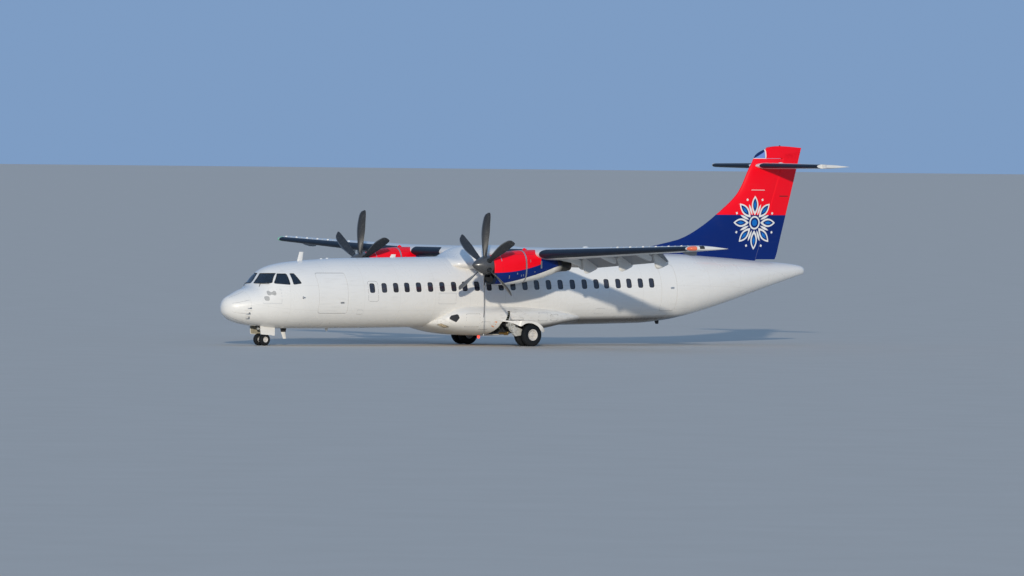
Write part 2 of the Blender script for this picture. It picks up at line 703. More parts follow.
bare_metal, tree, shader = new_material("bare alloy", 0.4, 0.9)
place = object_place(tree)
worn = place_group(tree, weather, Place=place, Streak_Length=2.0)
tree.links.new(mix_colours(tree, worn["Haze"], grey(0.50), grey(0.32)), shader.inputs["Base Color"])
vary_roughness(tree, shader, worn["Streaks"], 0.32, 0.55)

strips = []
for k in range(DIVERTERS):
    spoke = round((k + 0.5) * HULL_COUNT / DIVERTERS)
    path = [hull.lifted(hull.ring(x)[spoke], 0.001) for x in spread(0.20, 0.76, 0.07)]
    strips.append(pipe(path, 0.004, 6))
screws = []
for k in range(2, HULL_COUNT, 4):
    spot = Vector(hull.ring(NOSE_JOINT - 0.03)[k])
    out = hull.normal(spot)
    screws.append(bar(spot - out * 0.004, spot + out * 0.002, 0.008, 0.006, 8))
make_piece("radome_strips_and_screws", strips + screws, bare_metal)


# Flight deck windows: laminated panes bolted into the nose, with a dark rubber bead and a white retainer.
# Behind them are the coaming, the panel, two seats and the rear wall.
mottling, given, taken = new_group("mottle", [("Place", "Vector"), ("Scale", "Float"), ("Detail", "Float")],
                                   [("Mottle", "Float")])
cloud = add_node(mottling, "ShaderNodeTexNoise", {"Vector": given["Place"], "Scale": given["Scale"],
                                                  "Detail": given["Detail"]})
mottling.links.new(cloud.outputs[0], taken["Mottle"])


def mottled(name, roughness, metallic, scale, detail, first, second, gloss=None, lit=False, **extra):
    """A material whose colour wanders between two, by a mottle of a scale and detail. gloss is the range
    in which its roughness wanders with it; lit, it glows in its own colour."""
    material, tree, shader = new_material(name, roughness, metallic, **extra)
    mottle = place_group(tree, mottling, Place=object_place(tree), Scale=scale, Detail=detail)["Mottle"]
    colour = mix_colours(tree, mottle, first, second)
    tree.links.new(colour, shader.inputs["Base Color"])
    if lit:
        tree.links.new(colour, shader.inputs["Emission Color"])
    if gloss:
        vary_roughness(tree, shader, mottle, *gloss)
    return material


glass = mottled("tinted glass", 0.03, 0.0, 2.0, 3.0, (0.045, 0.085, 0.15, 1.0), (0.09, 0.14, 0.21, 1.0),
                IOR=1.5, Transmission_Weight=0.85)
rubber = mottled("black rubber", 0.7, 0.0, 40.0, 4.0, grey(0.012), grey(0.04), gloss=(0.55, 0.85))

beads = []
for name, side in SIDES:
    for label, outline, seen in (("windscreen", SCREEN, hull.seen_from_bow(side)),
                                 ("side_window_1", SIDE_PANES[0], hull.seen_from_side(side)),
                                 ("side_window_2", SIDE_PANES[1], hull.seen_from_side(side))):
        pane = hull.plate(scaled(outline, 0.004), seen, -GLASS_SEAT, -0.028)
        make_piece(f"{label}_{name}_pane", [pane], glass, stands_for=[f"{label}_{name}"])
        beads.append(hull.plate(scaled(outline, 0.006), seen, -0.001, -0.030, hole=scaled(outline, -0.018)))
make_piece("window_beads", beads, rubber)

cockpit_lining = mottled("flight deck lining", 0.8, 0.0, 60.0, 2.0, grey(0.035), grey(0.07))

cabin_void = hull.length(NOSE_JOINT, COCKPIT_JOINT, 0.1, grow=-0.052)
COAMING = [(1.36, 2.26), (1.52, 2.34), (1.80, 2.36), (1.88, 2.30), (1.84, 2.22), (1.62, 1.66), (1.30, 1.66)]
coaming = carve(prism(COAMING, 1, -1.2, 1.2), [cabin_void], "INTERSECT")
wall = carve(block((2.98, -1.4, 1.6), (3.02, 1.4, 3.2)), [cabin_void], "INTERSECT")
deck = carve(block((1.3, -1.4, 1.52), (3.0, 1.4, 1.60)), [cabin_void], "INTERSECT")
fittings = [coaming, wall, deck]
for _, side in SIDES:
    middle = side * 0.53
    for low, high, lean in (((2.20, 0.24, 1.98), (2.66, 0.24, 2.08), 0.0),
                            ((2.58, 0.23, 2.02), (2.70, 0.21, 2.62), 0.1),
                            ((2.66, 0.13, 2.66), (2.76, 0.11, 2.84), 0.02)):
        corners = [(low[0], low[2]), (high[0], low[2]), (high[0] + lean, high[2]), (low[0] + lean, high[2])]
        fittings.append(prism(rounded(corners, 0.04), 1, middle - low[1], middle + high[1]))
    fittings.append(prism(rounded(rectangle(2.28, 2.56, 1.58, 2.0), 0.03), 1, middle - 0.14, middle + 0.14))
    fittings.append(bar((2.05, middle, 1.62), (1.98, middle, 2.12), 0.03))
    fittings.append(pipe([(1.98, middle - 0.16, 2.24), (1.98, middle - 0.15, 2.12),
                          (1.98, middle + 0.15, 2.12), (1.98, middle + 0.16, 2.24)], 0.018))
make_piece("flight_deck_fittings", fittings, cockpit_lining, bevel=0.006)


# Cabin windows: an acrylic pane set back in an aluminium frame with a dark bead. The row follows the floor.
# The pane beside the escape hatch belongs to the hatch.
cabin_glass = mottled("cabin acrylic", 0.06, 0.0, 1.7, 1.0, (0.006, 0.014, 0.032, 1.0),
                      (0.055, 0.050, 0.055, 1.0), Coat_Weight=0.6, Coat_Roughness=0.02)
WINDOW_RINGS = 2
panes, frames = [], []
for x in WINDOW_STATIONS:
    for _, side in SIDES:
        seen = hull.seen_from_side(side)
        panes.append(hull.plate(window_outline(x, 0.004), seen, -0.014, -0.026, rings=WINDOW_RINGS))
        opening = window_outline(x, -0.014)
        frames.append(hull.plate(window_outline(x, 0.005), seen, -0.001, -0.03, opening, 1))
make_piece("cabin_panes", panes, cabin_glass, crease=60)
make_piece("cabin_window_beads", frames, rubber, crease=60)


# Doors: pressed panels with a frame behind the skin, level with the hull. The cargo door swings up on its
# top edge, the passenger door down on its sill with its steps inside, and the service door is a plug.
door_paint = painted("white door paint", WARM_WHITE, dirt=0.25)
door_lining = painted("primed structure", (0.30, 0.33, 0.24, 1.0), roughness=0.55, dirt=0.4, coat=0.0)
interior_trim = painted("pale cabin trim", (0.55, 0.54, 0.50, 1.0), roughness=0.6, dirt=0.2, coat=0.0)
DOORS = {"cargo_door": CARGO_DOOR, "passenger_door": PASSENGER_DOOR, "service_door": SERVICE_DOOR}
for name, door in DOORS.items():
    side = door[2]
    seen = hull.seen_from_side(side)
    (x0, x1), (sill, head) = door[:2]
    body = "airframe" if name == "service_door" else name
    panel = hull.plate(door_outline(door), seen, 0.0, -0.035, rings=16)
    make_piece(f"{name}_skin", [panel], door_paint, body, [name], shell=hull)
    inner = []
    for z in spread(sill + 0.12, head - 0.12, 0.32):
        inner.append(hull.plate(rectangle(x0 + 0.04, x1 - 0.04, z - 0.02, z + 0.02), seen, -0.035, -0.055))
    for x in spread(x0 + 0.06, x1 - 0.06, 0.30):
        rib = rectangle(x - 0.02, x + 0.02, sill + 0.04, head - 0.04)
        inner.append(hull.plate(rib, seen, -0.033, -0.060, rings=8))
    make_piece(f"{name}_ribs", inner, door_lining, body)

STEPS = 5
steps, rails = [], []
(x0, x1), (sill, head) = PASSENGER_DOOR[:2]
for k in range(STEPS):
    z = sill + 0.16 + k * (head - sill - 0.42) / (STEPS - 1)
    reach = hull.side(19.7, z) - 0.06
    width = (x0 + 0.14, x1 - 0.14)
    steps.append(side_block(-1, width, (reach - 0.20, reach + 0.01), (z - 0.015, z + 0.015)))
    steps.append(side_block(-1, width, (reach - 0.20, reach - 0.17), (z - 0.05, z)))
for x in (x0 + 0.10, x1 - 0.10):
    places = [(s / 14, sill + 0.10 + s * (head - sill - 0.28) / 14) for s in range(15)]
    rails.append(pipe([(x, -hull.side(x, z) + 0.06 + 0.28 * math.sin(math.pi * t), z) for t, z in places],
                      0.014))
make_piece("passenger_door_steps", steps, interior_trim, "passenger_door", bevel=0.004)
make_piece("passenger_door_rails", rails, bare_metal, "passenger_door")

# Handles, each lying in a shallow dish
for name, door, x, z in (("cargo_door", CARGO_DOOR, 4.48, 1.62),
                         ("passenger_door", PASSENGER_DOOR, 19.84, 2.20),
                         ("service_door", SERVICE_DOOR, 19.86, 2.10)):
    seen = hull.seen_from_side(door[2])
    body = "airframe" if name == "service_door" else name
    dish = rounded(rectangle(x - 0.09, x + 0.09, z - 0.035, z + 0.035), 0.03)
    make_piece(f"{name}_handle", [hull.plate(dish, seen, 0.0015, -0.002, scaled(dish, -0.008), 1),
                                  hull.plate(scaled(dish, -0.014), seen, 0.004, -0.002, rings=2)],
               bare_metal, body)

# The hold and the vestibule behind the doors
hold, vestibule = [], []
for start, end, store in ((COCKPIT_JOINT + SKIN, CARGO_JOINT - SKIN, hold),
                          (CABIN_JOINT, BULKHEAD, vestibule)):
    inside = hull.length(start - 0.2, end + 0.2, 0.1, grow=0.001 - SKIN)
    floor = floor_height(CABIN_JOINT) if store is vestibule else CABIN_FLOOR
    for low, high in (((start, -1.5, floor - 0.04), (end, 1.5, floor)),
                      ((start, -1.5, floor), (start + 0.02, 1.5, 3.6)),
                      ((end - 0.02, -1.5, floor), (end, 1.5, 3.6))):
        store.append(carve(block(low, high), [inside], "INTERSECT"))
for y in (-0.75, -0.25, 0.25, 0.75):
    hold.append(block((COCKPIT_JOINT + 0.12, y - 0.03, CABIN_FLOOR - 0.01),
                      (CARGO_JOINT - 0.12, y + 0.03, CABIN_FLOOR + 0.004)))
make_piece("hold_and_vestibule_lining", hold + vestibule, interior_trim)

# Escape hatch: a plug door round the first cabin window on each side, seen as a fine seam
HATCH = rounded(rectangle(5.65, 6.11, 1.67, 2.43), 0.10)
hatch_seam = []
for _, side in SIDES:
    hatch_seam.append(hull.plate(HATCH, hull.seen_from_side(side), 0.0006, -0.003, scaled(HATCH, -0.007), 1))
make_piece("hatch_seams", hatch_seam, rubber)


# Wing: an aluminium and composite box, level between the engines and then tapering, rising and thinning to
# the tips. Its fixed trailing edge is hollowed for the flaps and ailerons that hinge behind it.
WING_LEAD, ROOT_CHORD, TIP_CHORD, WING_HEIGHT = 11.150, 2.570, 1.590, 3.500
CENTRE_HALF_SPAN, AILERON_END, HALF_SPAN = 4.790, 13.150, 13.525
TIP_SWEEP, TIP_RISE, ROOT_THICKNESS, TIP_THICKNESS = 0.500, 0.350, 0.18, 0.13
WASHOUT, WING_CAMBER, FLAP_LINE = 0.060, 0.015, 0.72
FLAP_INNER, FLAP_OUTER, FLAP_PIVOT_DROP, FLAP_ANGLE = 1.700, 9.740, 0.060, math.radians(35)
FLAP_LIP, FLAP_GAP, SURFACE_GAP, SPAN_GAP = 0.015, 0.010, 0.012, 0.012
Section = collections.namedtuple("Section", "lead chord height thickness drop camber line")


def half_thickness(u, tail=0.1015):
    """Half of an aerofoil's thickness at a share u of its chord, for a thickness ratio of one. The tail's
    number sets how blunt its trailing edge is."""
    return 5 * (0.2969 * math.sqrt(u) - 0.126 * u - 0.3516 * u ** 2 + 0.2843 * u ** 3 - tail * u ** 4)


def foil_point(section, u, face):
    """A point of an aerofoil at a share u of its chord, on its upper (1) or lower (-1) face."""
    mean = section.height - section.drop * u + section.chord * section.camber * 4 * u * (1 - u)
    half = half_thickness(u)
    return section.lead + section.chord * u, mean + face * section.chord * section.thickness * half


def foil_height(section, x, face):
    return foil_point(section, (x - section.lead) / section.chord, face)[1]


def foil_line(section, u0, u1, face, count=18):
    """One face of an aerofoil from u0 to u1, with its points drawn towards u0."""
    return [foil_point(section, u0 + (u1 - u0) * (k / count) ** 1.7, face) for k in range(count + 1)]


def arc(centre, radius, start, end, count=12):
    """Points of an arc, from and to angles in radians."""
    return [(centre[0] + radius * math.cos(a), centre[1] + radius * math.sin(a))
            for a in [start + (end - start) * k / count for k in range(count + 1)]]


def whole_section(section):
    return foil_line(section, 0, 1, 1)[::-1] + foil_line(section, 0, 1, -1)[1:]


def plain_hinge(section):
    """The pivot at the middle of the hinge line's depth, and half that depth."""
    x = section.lead + section.chord * section.line
    upper, lower = foil_height(section, x, 1), foil_height(section, x, -1)
    return (x, (upper + lower) / 2), (upper - lower) / 2


def fixed_part(section):
    """The section ahead of a plain hinge, hollowed round it."""
    centre, radius = plain_hinge(section)
    cove = radius + SURFACE_GAP
    angle = math.acos(-math.sqrt(cove ** 2 - radius ** 2) / cove)
    end = (centre[0] - math.sqrt(cove ** 2 - radius ** 2) - section.lead) / section.chord
    return (foil_line(section, 0, end, 1)[::-1] + foil_line(section, 0, end, -1)[1:-1]
            + arc(centre, cove, 2 * math.pi - angle, angle)[:-1])


def moving_part(section):
    """The section behind a plain hinge, with a round nose."""
    centre, radius = plain_hinge(section)
    return (arc(centre, radius, math.pi / 2, 1.5 * math.pi) + foil_line(section, section.line, 1, -1, 8)[1:]
            + foil_line(section, section.line, 1, 1, 8)[:0:-1])


def flap_hinge(section):
    """The flap's pivot below the wing, the radius of its nose, and where an arc meets the lower face."""
    x = section.lead + section.chord * section.line
    centre = (x, foil_height(section, x, -1) - FLAP_PIVOT_DROP)
    radius = foil_height(section, x, 1) - centre[1] - FLAP_LIP - FLAP_GAP

    def meet(reach):
        spot = x - reach
        for _ in range(6):
            spot = x - math.sqrt(reach ** 2 - (foil_height(section, spot, -1) - centre[1]) ** 2)
        return spot
    return centre, radius, meet


def lower_angle(section, centre, x):
    return math.atan2(foil_height(section, x, -1) - centre[1], x - centre[0])


def flap_fixed_part(section):
    """The section ahead of a flap: the upper skin runs on over it as a lip."""
    centre, radius, meet = flap_hinge(section)
    cove = radius + FLAP_GAP
    lower = meet(cove)
    end = (lower - section.lead) / section.chord
    return (foil_line(section, 0, section.line, 1)[::-1] + foil_line(section, 0, end, -1)[1:-1]
            + arc(centre, cove, lower_angle(section, centre, lower), math.pi / 2))


def flap_moving_part(section):
    """The flap's own section, its nose turned about the pivot."""
    centre, radius, meet = flap_hinge(section)
    step = 0.010
    lower = meet(radius)
    front = (centre[0] + step - section.lead) / section.chord
    return (arc(centre, radius, math.acos(step / radius), lower_angle(section, centre, lower))
            + foil_line(section, section.line, 1, -1, 8)[1:] + foil_line(section, front, 1, 1, 8)[::-1])


def wing_section(y, line=FLAP_LINE):
    t = max(0.0, (abs(y) - CENTRE_HALF_SPAN) / (HALF_SPAN - CENTRE_HALF_SPAN))
    return Section(WING_LEAD + t * TIP_SWEEP, ROOT_CHORD + t * (TIP_CHORD - ROOT_CHORD),
                   WING_HEIGHT + t * TIP_RISE, ROOT_THICKNESS + t * (TIP_THICKNESS - ROOT_THICKNESS),
                   WASHOUT * (1 - t / 2), WING_CAMBER, line)


def span(shape, section_at, places):
    """A solid through one shape of section at places along the span."""
    return loft([[(x, y, z) for x, z in shape(section_at(y))] for y in places])


def wing_paint_zones(tree, x, y, z):
    """White, with a grey joint across the chord every 2.4 m of the span."""
    return mix_colours(tree, near_multiple(tree, y, 2.4, 0.012), (0.74, 0.73, 0.70, 1.0),
                       (0.45, 0.45, 0.44, 1.0))


wing_paint = painted("white wing paint", wing_paint_zones, roughness=0.34, dirt=0.35, streak=6.0)
flap_paint = painted("grey flap paint", (0.27, 0.28, 0.30, 1.0), roughness=0.45, dirt=0.5, streak=5.0)

root = FLAP_INNER - SPAN_GAP
centre_parts = [span(whole_section, wing_section, (-root, root))]
centre_parts += [span(flap_fixed_part, wing_section, (side * (root - 0.02), side * CENTRE_HALF_SPAN))
                 for _, side in SIDES]
make_piece("wing_centre_box", centre_parts, wing_paint, stands_for=["wing_centre"])


def tip_cap(side, grow=0.0):
    """The rounded end of the wing: its last section shrinks towards its trailing edge."""
    rings = []
    for t in spread(0.0, 1.0, 0.08):
        y = AILERON_END + SPAN_GAP + (HALF_SPAN - AILERON_END - SPAN_GAP) * math.sin(t * math.pi / 2)
        share = 0.10 + 0.90 * math.cos(t * math.pi / 2) ** 0.6
        section = wing_section(y)
        anchor = section.lead + 0.97 * section.chord
        rings.append([(anchor + (x - anchor) * (0.30 + 0.70 * share + grow) + 0.12 * t ** 3, side * y,
                       section.height + (z - section.height) * (share + grow))
                      for x, z in whole_section(section)])
    return loft(rings)


for name, side in SIDES:
    outer = [span(flap_fixed_part, wing_section,
                  [side * y for y in (CENTRE_HALF_SPAN, FLAP_OUTER + SPAN_GAP)]),
             span(fixed_part, wing_section, [side * y for y in (FLAP_OUTER + SPAN_GAP - 0.001,
                                                                AILERON_END + 2 * SPAN_GAP)]),
             tip_cap(side)]
    make_piece(f"wing_{name}_box", outer, wing_paint, stands_for=[f"wing_{name}"])


# Flaps: metal panels on brackets below the wing, let down for landing. Each bracket wears a canoe fairing,
# its front half fixed under the wing and its rear half on the flap, parted at the pivot.
CANOE_HALF_WIDTH, CANOE_SIDES = 0.062, 10
# place along the span and share of the full depth of each bracket
CENTRE_BRACKETS, OUTER_BRACKETS = ((2.35, 0.8), (4.50, 0.45)), ((5.00, 1.0), (7.28, 1.0), (9.58, 0.95))


def hinge_turn(inner, outer, angle):
    """The turn about a hinge line through two points in stations, as a matrix in the row frame."""
    foot = Vector((inner[0] + BOW_X, inner[1], inner[2]))
    axis = Vector(outer) - Vector(inner)
    if axis.y < 0:
        axis.negate()
    axis.normalize()
    return Matrix.Translation(foot) @ Matrix.Rotation(angle, 4, axis) @ Matrix.Translation(-foot)


def flap_point(y):
    (x, z), _, _ = flap_hinge(wing_section(y))
    return x, y, z


def canoe(y, stations, centre, depth):
    """A boat-shaped fairing: station, lower and upper height at each section, round below."""
    stations = [(x, low * depth if low < 0 else low, top, share) for x, low, top, share in stations]
    rings = []
    for x, low, top, share in stations:
        half = CANOE_HALF_WIDTH * share
        middle, reach = top, top - low
        lower = [(y + half * math.cos(a), middle - reach * abs(math.sin(a)) ** 0.8)
                 for a in half_turn(CANOE_SIDES)]
        rings.append([(centre[0] + x, across, centre[1] + up) for across, up in lower]
                     + [(centre[0] + x, y - half, centre[1] + top + 0.02),
                        (centre[0] + x, y + half, centre[1] + top + 0.02)])
    return loft(rings)


# distance behind the pivot, lower and upper height beside it, share of the full width
FIXED_CANOE = [(-1.06, 0.085, 0.12, 0.12), (-0.90, 0.02, 0.12, 0.50), (-0.62, -0.105, 0.11, 0.85),
               (-0.36, -0.200, 0.06, 1.0), (-0.30, -0.215, 0.00, 1.0),
               (-0.175, -0.235, -0.065, 1.0)]
MOVING_CANOE = [(-0.06, -0.090, 0.06, 0.80), (0.02, -0.140, 0.09, 1.0), (0.14, -0.225, 0.12, 1.0),
                (0.24, -0.350, 0.13, 0.95), (0.33, -0.385, 0.14, 0.85), (0.42, -0.345, 0.15, 0.7),
                (0.54, -0.19, 0.14, 0.5), (0.68, 0.045, 0.12, 0.12)]

for name, side in SIDES:
    for place, y0, y1, brackets in (("inboard", FLAP_INNER, CENTRE_HALF_SPAN - SPAN_GAP / 2,
                                     CENTRE_BRACKETS),
                                    ("outboard", CENTRE_HALF_SPAN + SPAN_GAP / 2, FLAP_OUTER,
                                     OUTER_BRACKETS)):
        hinge = hinge_turn(flap_point(side * y0), flap_point(side * y1), FLAP_ANGLE)
        body = f"flap_{place}_{name}"
        leaf = span(flap_moving_part, wing_section, (side * y0, side * y1))
        make_piece(f"{body}_panel", [leaf], flap_paint, body, [body], turn=hinge)
        fixed, moving = [], []
        for y, depth in brackets:
            x, _, z = flap_point(y)
            fixed.append(canoe(side * y, FIXED_CANOE, (x, z), depth))
            moving.append(canoe(side * y, MOVING_CANOE, (x, z), depth))
        make_piece(f"flap_canoes_{place}_{name}", fixed, wing_paint)
        make_piece(f"{body}_canoes", moving, wing_paint, body, turn=hinge)


# Ailerons: balanced surfaces at the outer wing, each with a trim tab let into its trailing edge
for name, side in SIDES:
    blade = span(moving_part, wing_section, (side * (FLAP_OUTER + 2 * SPAN_GAP), side * AILERON_END))
    tab_y = sorted((side * (FLAP_OUTER + 0.5), side * (FLAP_OUTER + 1.7)))
    line = [block((13.20, y - 0.004, 3.4), (13.6, y + 0.004, 4.2)) for y in tab_y]
    make_piece(f"aileron_{name}_blade", [carve(blade, line)], wing_paint, f"aileron_{name}",
               [f"aileron_{name}"])


# De-icing boots: black rubber sheet cemented over the leading edges, which breathes with air to crack ice.
# White edges show where the paint stops short of it.
BOOT_REACH, BOOT_RISE = 0.085, 0.003
boot_rubber, tree, shader = new_material("boot rubber", 0.5, Specular_IOR_Level=0.3)
place = object_place(tree)
x, y, z = add_node(tree, "ShaderNodeSeparateXYZ", {0: place}).outputs
bloom = add_node(tree, "ShaderNodeTexNoise", {"Vector": place, "Scale": 3.0, "Detail": 6.0})
tubes = near_multiple(tree, y, 0.11, 0.012)
base = mix_colours(tree, bloom.outputs[0], (0.003, 0.010, 0.024, 1.0), (0.009, 0.020, 0.040, 1.0))
tree.links.new(mix_colours(tree, math_node(tree, "MULTIPLY", tubes, 0.3), base, grey(0.05)),
               shader.inputs["Base Color"])
bump = add_node(tree, "ShaderNodeBump", {"Height": tubes, "Strength": 0.3, "Distance": 0.003})
tree.links.new(bump.outputs[0], shader.inputs["Normal"])


def boot_section(reach, rise=BOOT_RISE):
    """A sheet wrapped round the nose of a section, proud of it by its thickness."""
    def shape(section):
        line = foil_line(section, 0, reach, 1, 10)[::-1] + foil_line(section, 0, reach, -1, 10)[1:]
        outer = []
        for k, point in enumerate(line):
            run = Vector(line[min(k + 1, len(line) - 1)]) - Vector(line[max(k - 1, 0)])
            outer.append(tuple(Vector(point) + Vector((run.y, -run.x)).normalized() * rise))
        return outer + line[::-1]
    return shape


BOOT_SPANS = ((1.78, 3.62), (4.66, 13.15))
# distance from a sheet's end, and share of its full reach there
BOOT_END = [(0.00, 0.12), (0.02, 0.40), (0.05, 0.63), (0.10, 0.84), (0.16, 0.96), (0.22, 1.0)]
for name, side in SIDES:
    sheets = []
    for y0, y1 in BOOT_SPANS:
        places = [(y0 + run, share) for run, share in BOOT_END]
        places += [(y, 1.0) for y in spread(y0 + 0.3, y1 - 0.02, 1.0)] + [(y1, 0.9)]
        sheets.append(loft([[(x, side * y, z) for x, z in boot_section(BOOT_REACH * share)(wing_section(y))]
                            for y, share in places]))
    make_piece(f"wing_boots_{name}", sheets, boot_rubber)


# Wing root fairing: laminate panels over the joint between wing and hull, in white
# station, half width, top, bottom, height of the widest point
ROOT_ROWS = [(9.84, 0.80, 3.20, 2.95), (9.92, 0.98, 3.29, 2.90), (10.05, 1.10, 3.345, 2.86),
             (10.20, 1.18, 3.39, 2.82), (10.40, 1.26, 3.47, 2.79), (10.60, 1.34, 3.57, 2.75),
             (10.80, 1.42, 3.67, 2.70), (11.00, 1.50, 3.74, 2.64), (11.20, 1.56, 3.775, 2.60),
             (12.50, 1.62, 3.785, 2.56), (13.70, 1.56, 3.71, 2.64), (14.70, 1.38, 3.58, 2.90),
             (15.70, 0.80, 3.45, 3.20)]
ROOT_FAIRING = [(x, half, top, bottom, (top + bottom) / 2 - 0.03) for x, half, top, bottom in ROOT_ROWS]
laminate_paint = painted("white laminate paint", WARM_WHITE, roughness=0.28, dirt=0.25, coat=0.4)
root_fairing = Shell(ROOT_FAIRING, lower_power=2.2)
make_piece("wing_root_fairing", [root_fairing.length(9.84, 15.70, 0.06)], laminate_paint,
           stands_for=["wing_fairing"], shell=root_fairing)


# Nacelles: laminate cowls round the engine, red over blue over a white keel, with a chin intake below the
# spinner. A strap holds the cowl doors, and the jet pipe leaves through a sleeve behind the wing's edge.
ENGINE_Y, THRUST_Z, DISC_STATION = 4.050, 3.080, 9.100
RED_PAINT, NAVY_PAINT, KEEL_WHITE = (0.96, 0.0, 0.012, 1.0), (0.0, 0.017, 0.150, 1.0), WARM_WHITE
COWL_ROWS = [(9.30, 0.375, 3.440, 2.375), (9.75, 0.46, 3.535, 2.345), (10.31, 0.51, 3.615, 2.375),
             (10.95, 0.52, 3.655, 2.470), (11.50, 0.48, 3.665, 2.565), (11.90, 0.42, 3.600, 2.680),
             (12.30, 0.33, 3.520, 2.810), (12.69, 0.21, 3.440, 3.030)]
NACELLE = [(x, half, top, bottom, (top + bottom) / 2) for x, half, top, bottom in COWL_ROWS]
COWL_FRONT = 9.30
# height of a colour's edge at the front of the cowl, its slope and its curve
BLUE_EDGE, RED_EDGE = (2.3405, 0.189, 0.0245), (2.80, 0.030, 0.072)
RED_END = 11.36
SOOT_START, SOOT_LENGTH = 12.02, 0.36


def above_edge(tree, x, z, edge, softness=0.006):
    """One above a curved line along the cowl."""
    level, slope, curve = edge
    run = math_node(tree, "SUBTRACT", x, 9.41 + BOW_X)
    rise = math_node(tree, "ADD", math_node(tree, "MULTIPLY", run, slope),
                     math_node(tree, "MULTIPLY", math_node(tree, "MULTIPLY", run, run), curve))
    away = math_node(tree, "SUBTRACT", math_node(tree, "SUBTRACT", z, level), rise)
    return math_node(tree, "ADD", math_node(tree, "DIVIDE", away, softness), 0.5, clamp=True)


def cowl_zones(tree, x, y, z):
    base = mix_colours(tree, above_edge(tree, x, z, BLUE_EDGE), KEEL_WHITE, NAVY_PAINT)
    ahead = math_node(tree, "DIVIDE", math_node(tree, "SUBTRACT", RED_END + BOW_X, x), 0.006, clamp=True)
    upper = math_node(tree, "MULTIPLY", above_edge(tree, x, z, RED_EDGE), ahead)
    base = mix_colours(tree, upper, base, RED_PAINT)
    soot = math_node(tree, "DIVIDE", math_node(tree, "SUBTRACT", x, SOOT_START + BOW_X), SOOT_LENGTH,
                     clamp=True)
    return mix_colours(tree, soot, base, grey(0.03))


cowl_paint = painted("cowl paint", cowl_zones, roughness=0.38, dirt=0.06, coat=0.0, specular=0.3)
dark_lining = mottled("dark lining", 0.75, 0.0, 6.0, 5.0, (0.006, 0.008, 0.014, 1.0),
                      (0.030, 0.034, 0.042, 1.0))
strap_metal = mottled("brushed strap", 0.35, 0.85, 120.0, 2.0, grey(0.42), grey(0.60))
hot_metal = mottled("heated pipe", 0.45, 0.8, 9.0, 6.0, (0.030, 0.026, 0.024, 1.0), (0.13, 0.11, 0.10, 1.0))


def lathe(profile, centre, axis, count=64):
    """A body turned about a line along an axis through a centre. Its profile's points hold the radius and
    the place along the axis; it closes on itself or on the axis."""
    rings = []
    for a in full_turn(count):
        ring = []
        for radius, place in profile:
            spot = [radius * math.cos(a), radius * math.sin(a)]
            spot.insert(axis, place)
            ring.append(tuple(c + s for c, s in zip(centre, spot)))
        rings.append(ring)
    size = len(profile)
    points = [point for ring in rings for point in ring]
    faces = [(k * size + s, k * size + (s + 1) % size, (k + 1) % count * size + (s + 1) % size,
              (k + 1) % count * size + s) for k in range(count) for s in range(size)]
    return points, faces


EXHAUST_Y, EXHAUST_Z, EXHAUST_RADIUS, EXHAUST_END = 4.290, 3.090, 0.200, 12.800
# station, middle across and up, radius of the sleeve round the jet pipe
SLEEVE = [(11.55, 4.14, 3.00, 0.26), (11.90, 4.18, 3.03, 0.26), (12.20, 4.24, 3.07, 0.245),
          (12.45, 4.28, 3.09, 0.235), (12.66, 4.29, 3.09, 0.228)]
# station and height of each latch or vent plate on a cowl, and its half sizes; then the edges of its doors
COWL_LATCHES = [(9.908, 2.650, 0.016, 0.060), (10.253, 2.775, 0.018, 0.032), (10.440, 2.700, 0.014, 0.035),
                (10.530, 2.712, 0.014, 0.035), (9.600, 3.330, 0.012, 0.100), (11.360, 3.110, 0.034, 0.140),
                (11.05, 2.84, 0.030, 0.014), (10.85, 3.25, 0.014, 0.05)]
COWL_DOORS = [(9.62, 10.60, 2.60, 3.50), (10.72, 11.30, 2.72, 3.50)]
ENGINE_BLOCK = ((9.80, 11.40), 0.28, (2.80, 3.29))
# distance aft, half width and half height of the vent blister on the cowl's crown
BLISTER = [(-0.08, 0.02, 0.02), (-0.065, 0.04, 0.065), (-0.02, 0.05, 0.090), (0.03, 0.045, 0.080),
           (0.08, 0.025, 0.045), (0.11, 0.005, 0.01)]


def oval_loft(rows, centre, count):
    """A body through upright ovals about a line; each row holds distance aft, half width, half height."""
    x, y, z = centre
    return loft([[(x + aft, y + reach * math.cos(a), z + rise * math.sin(a)) for a in full_turn(count)]
                 for aft, reach, rise in rows])


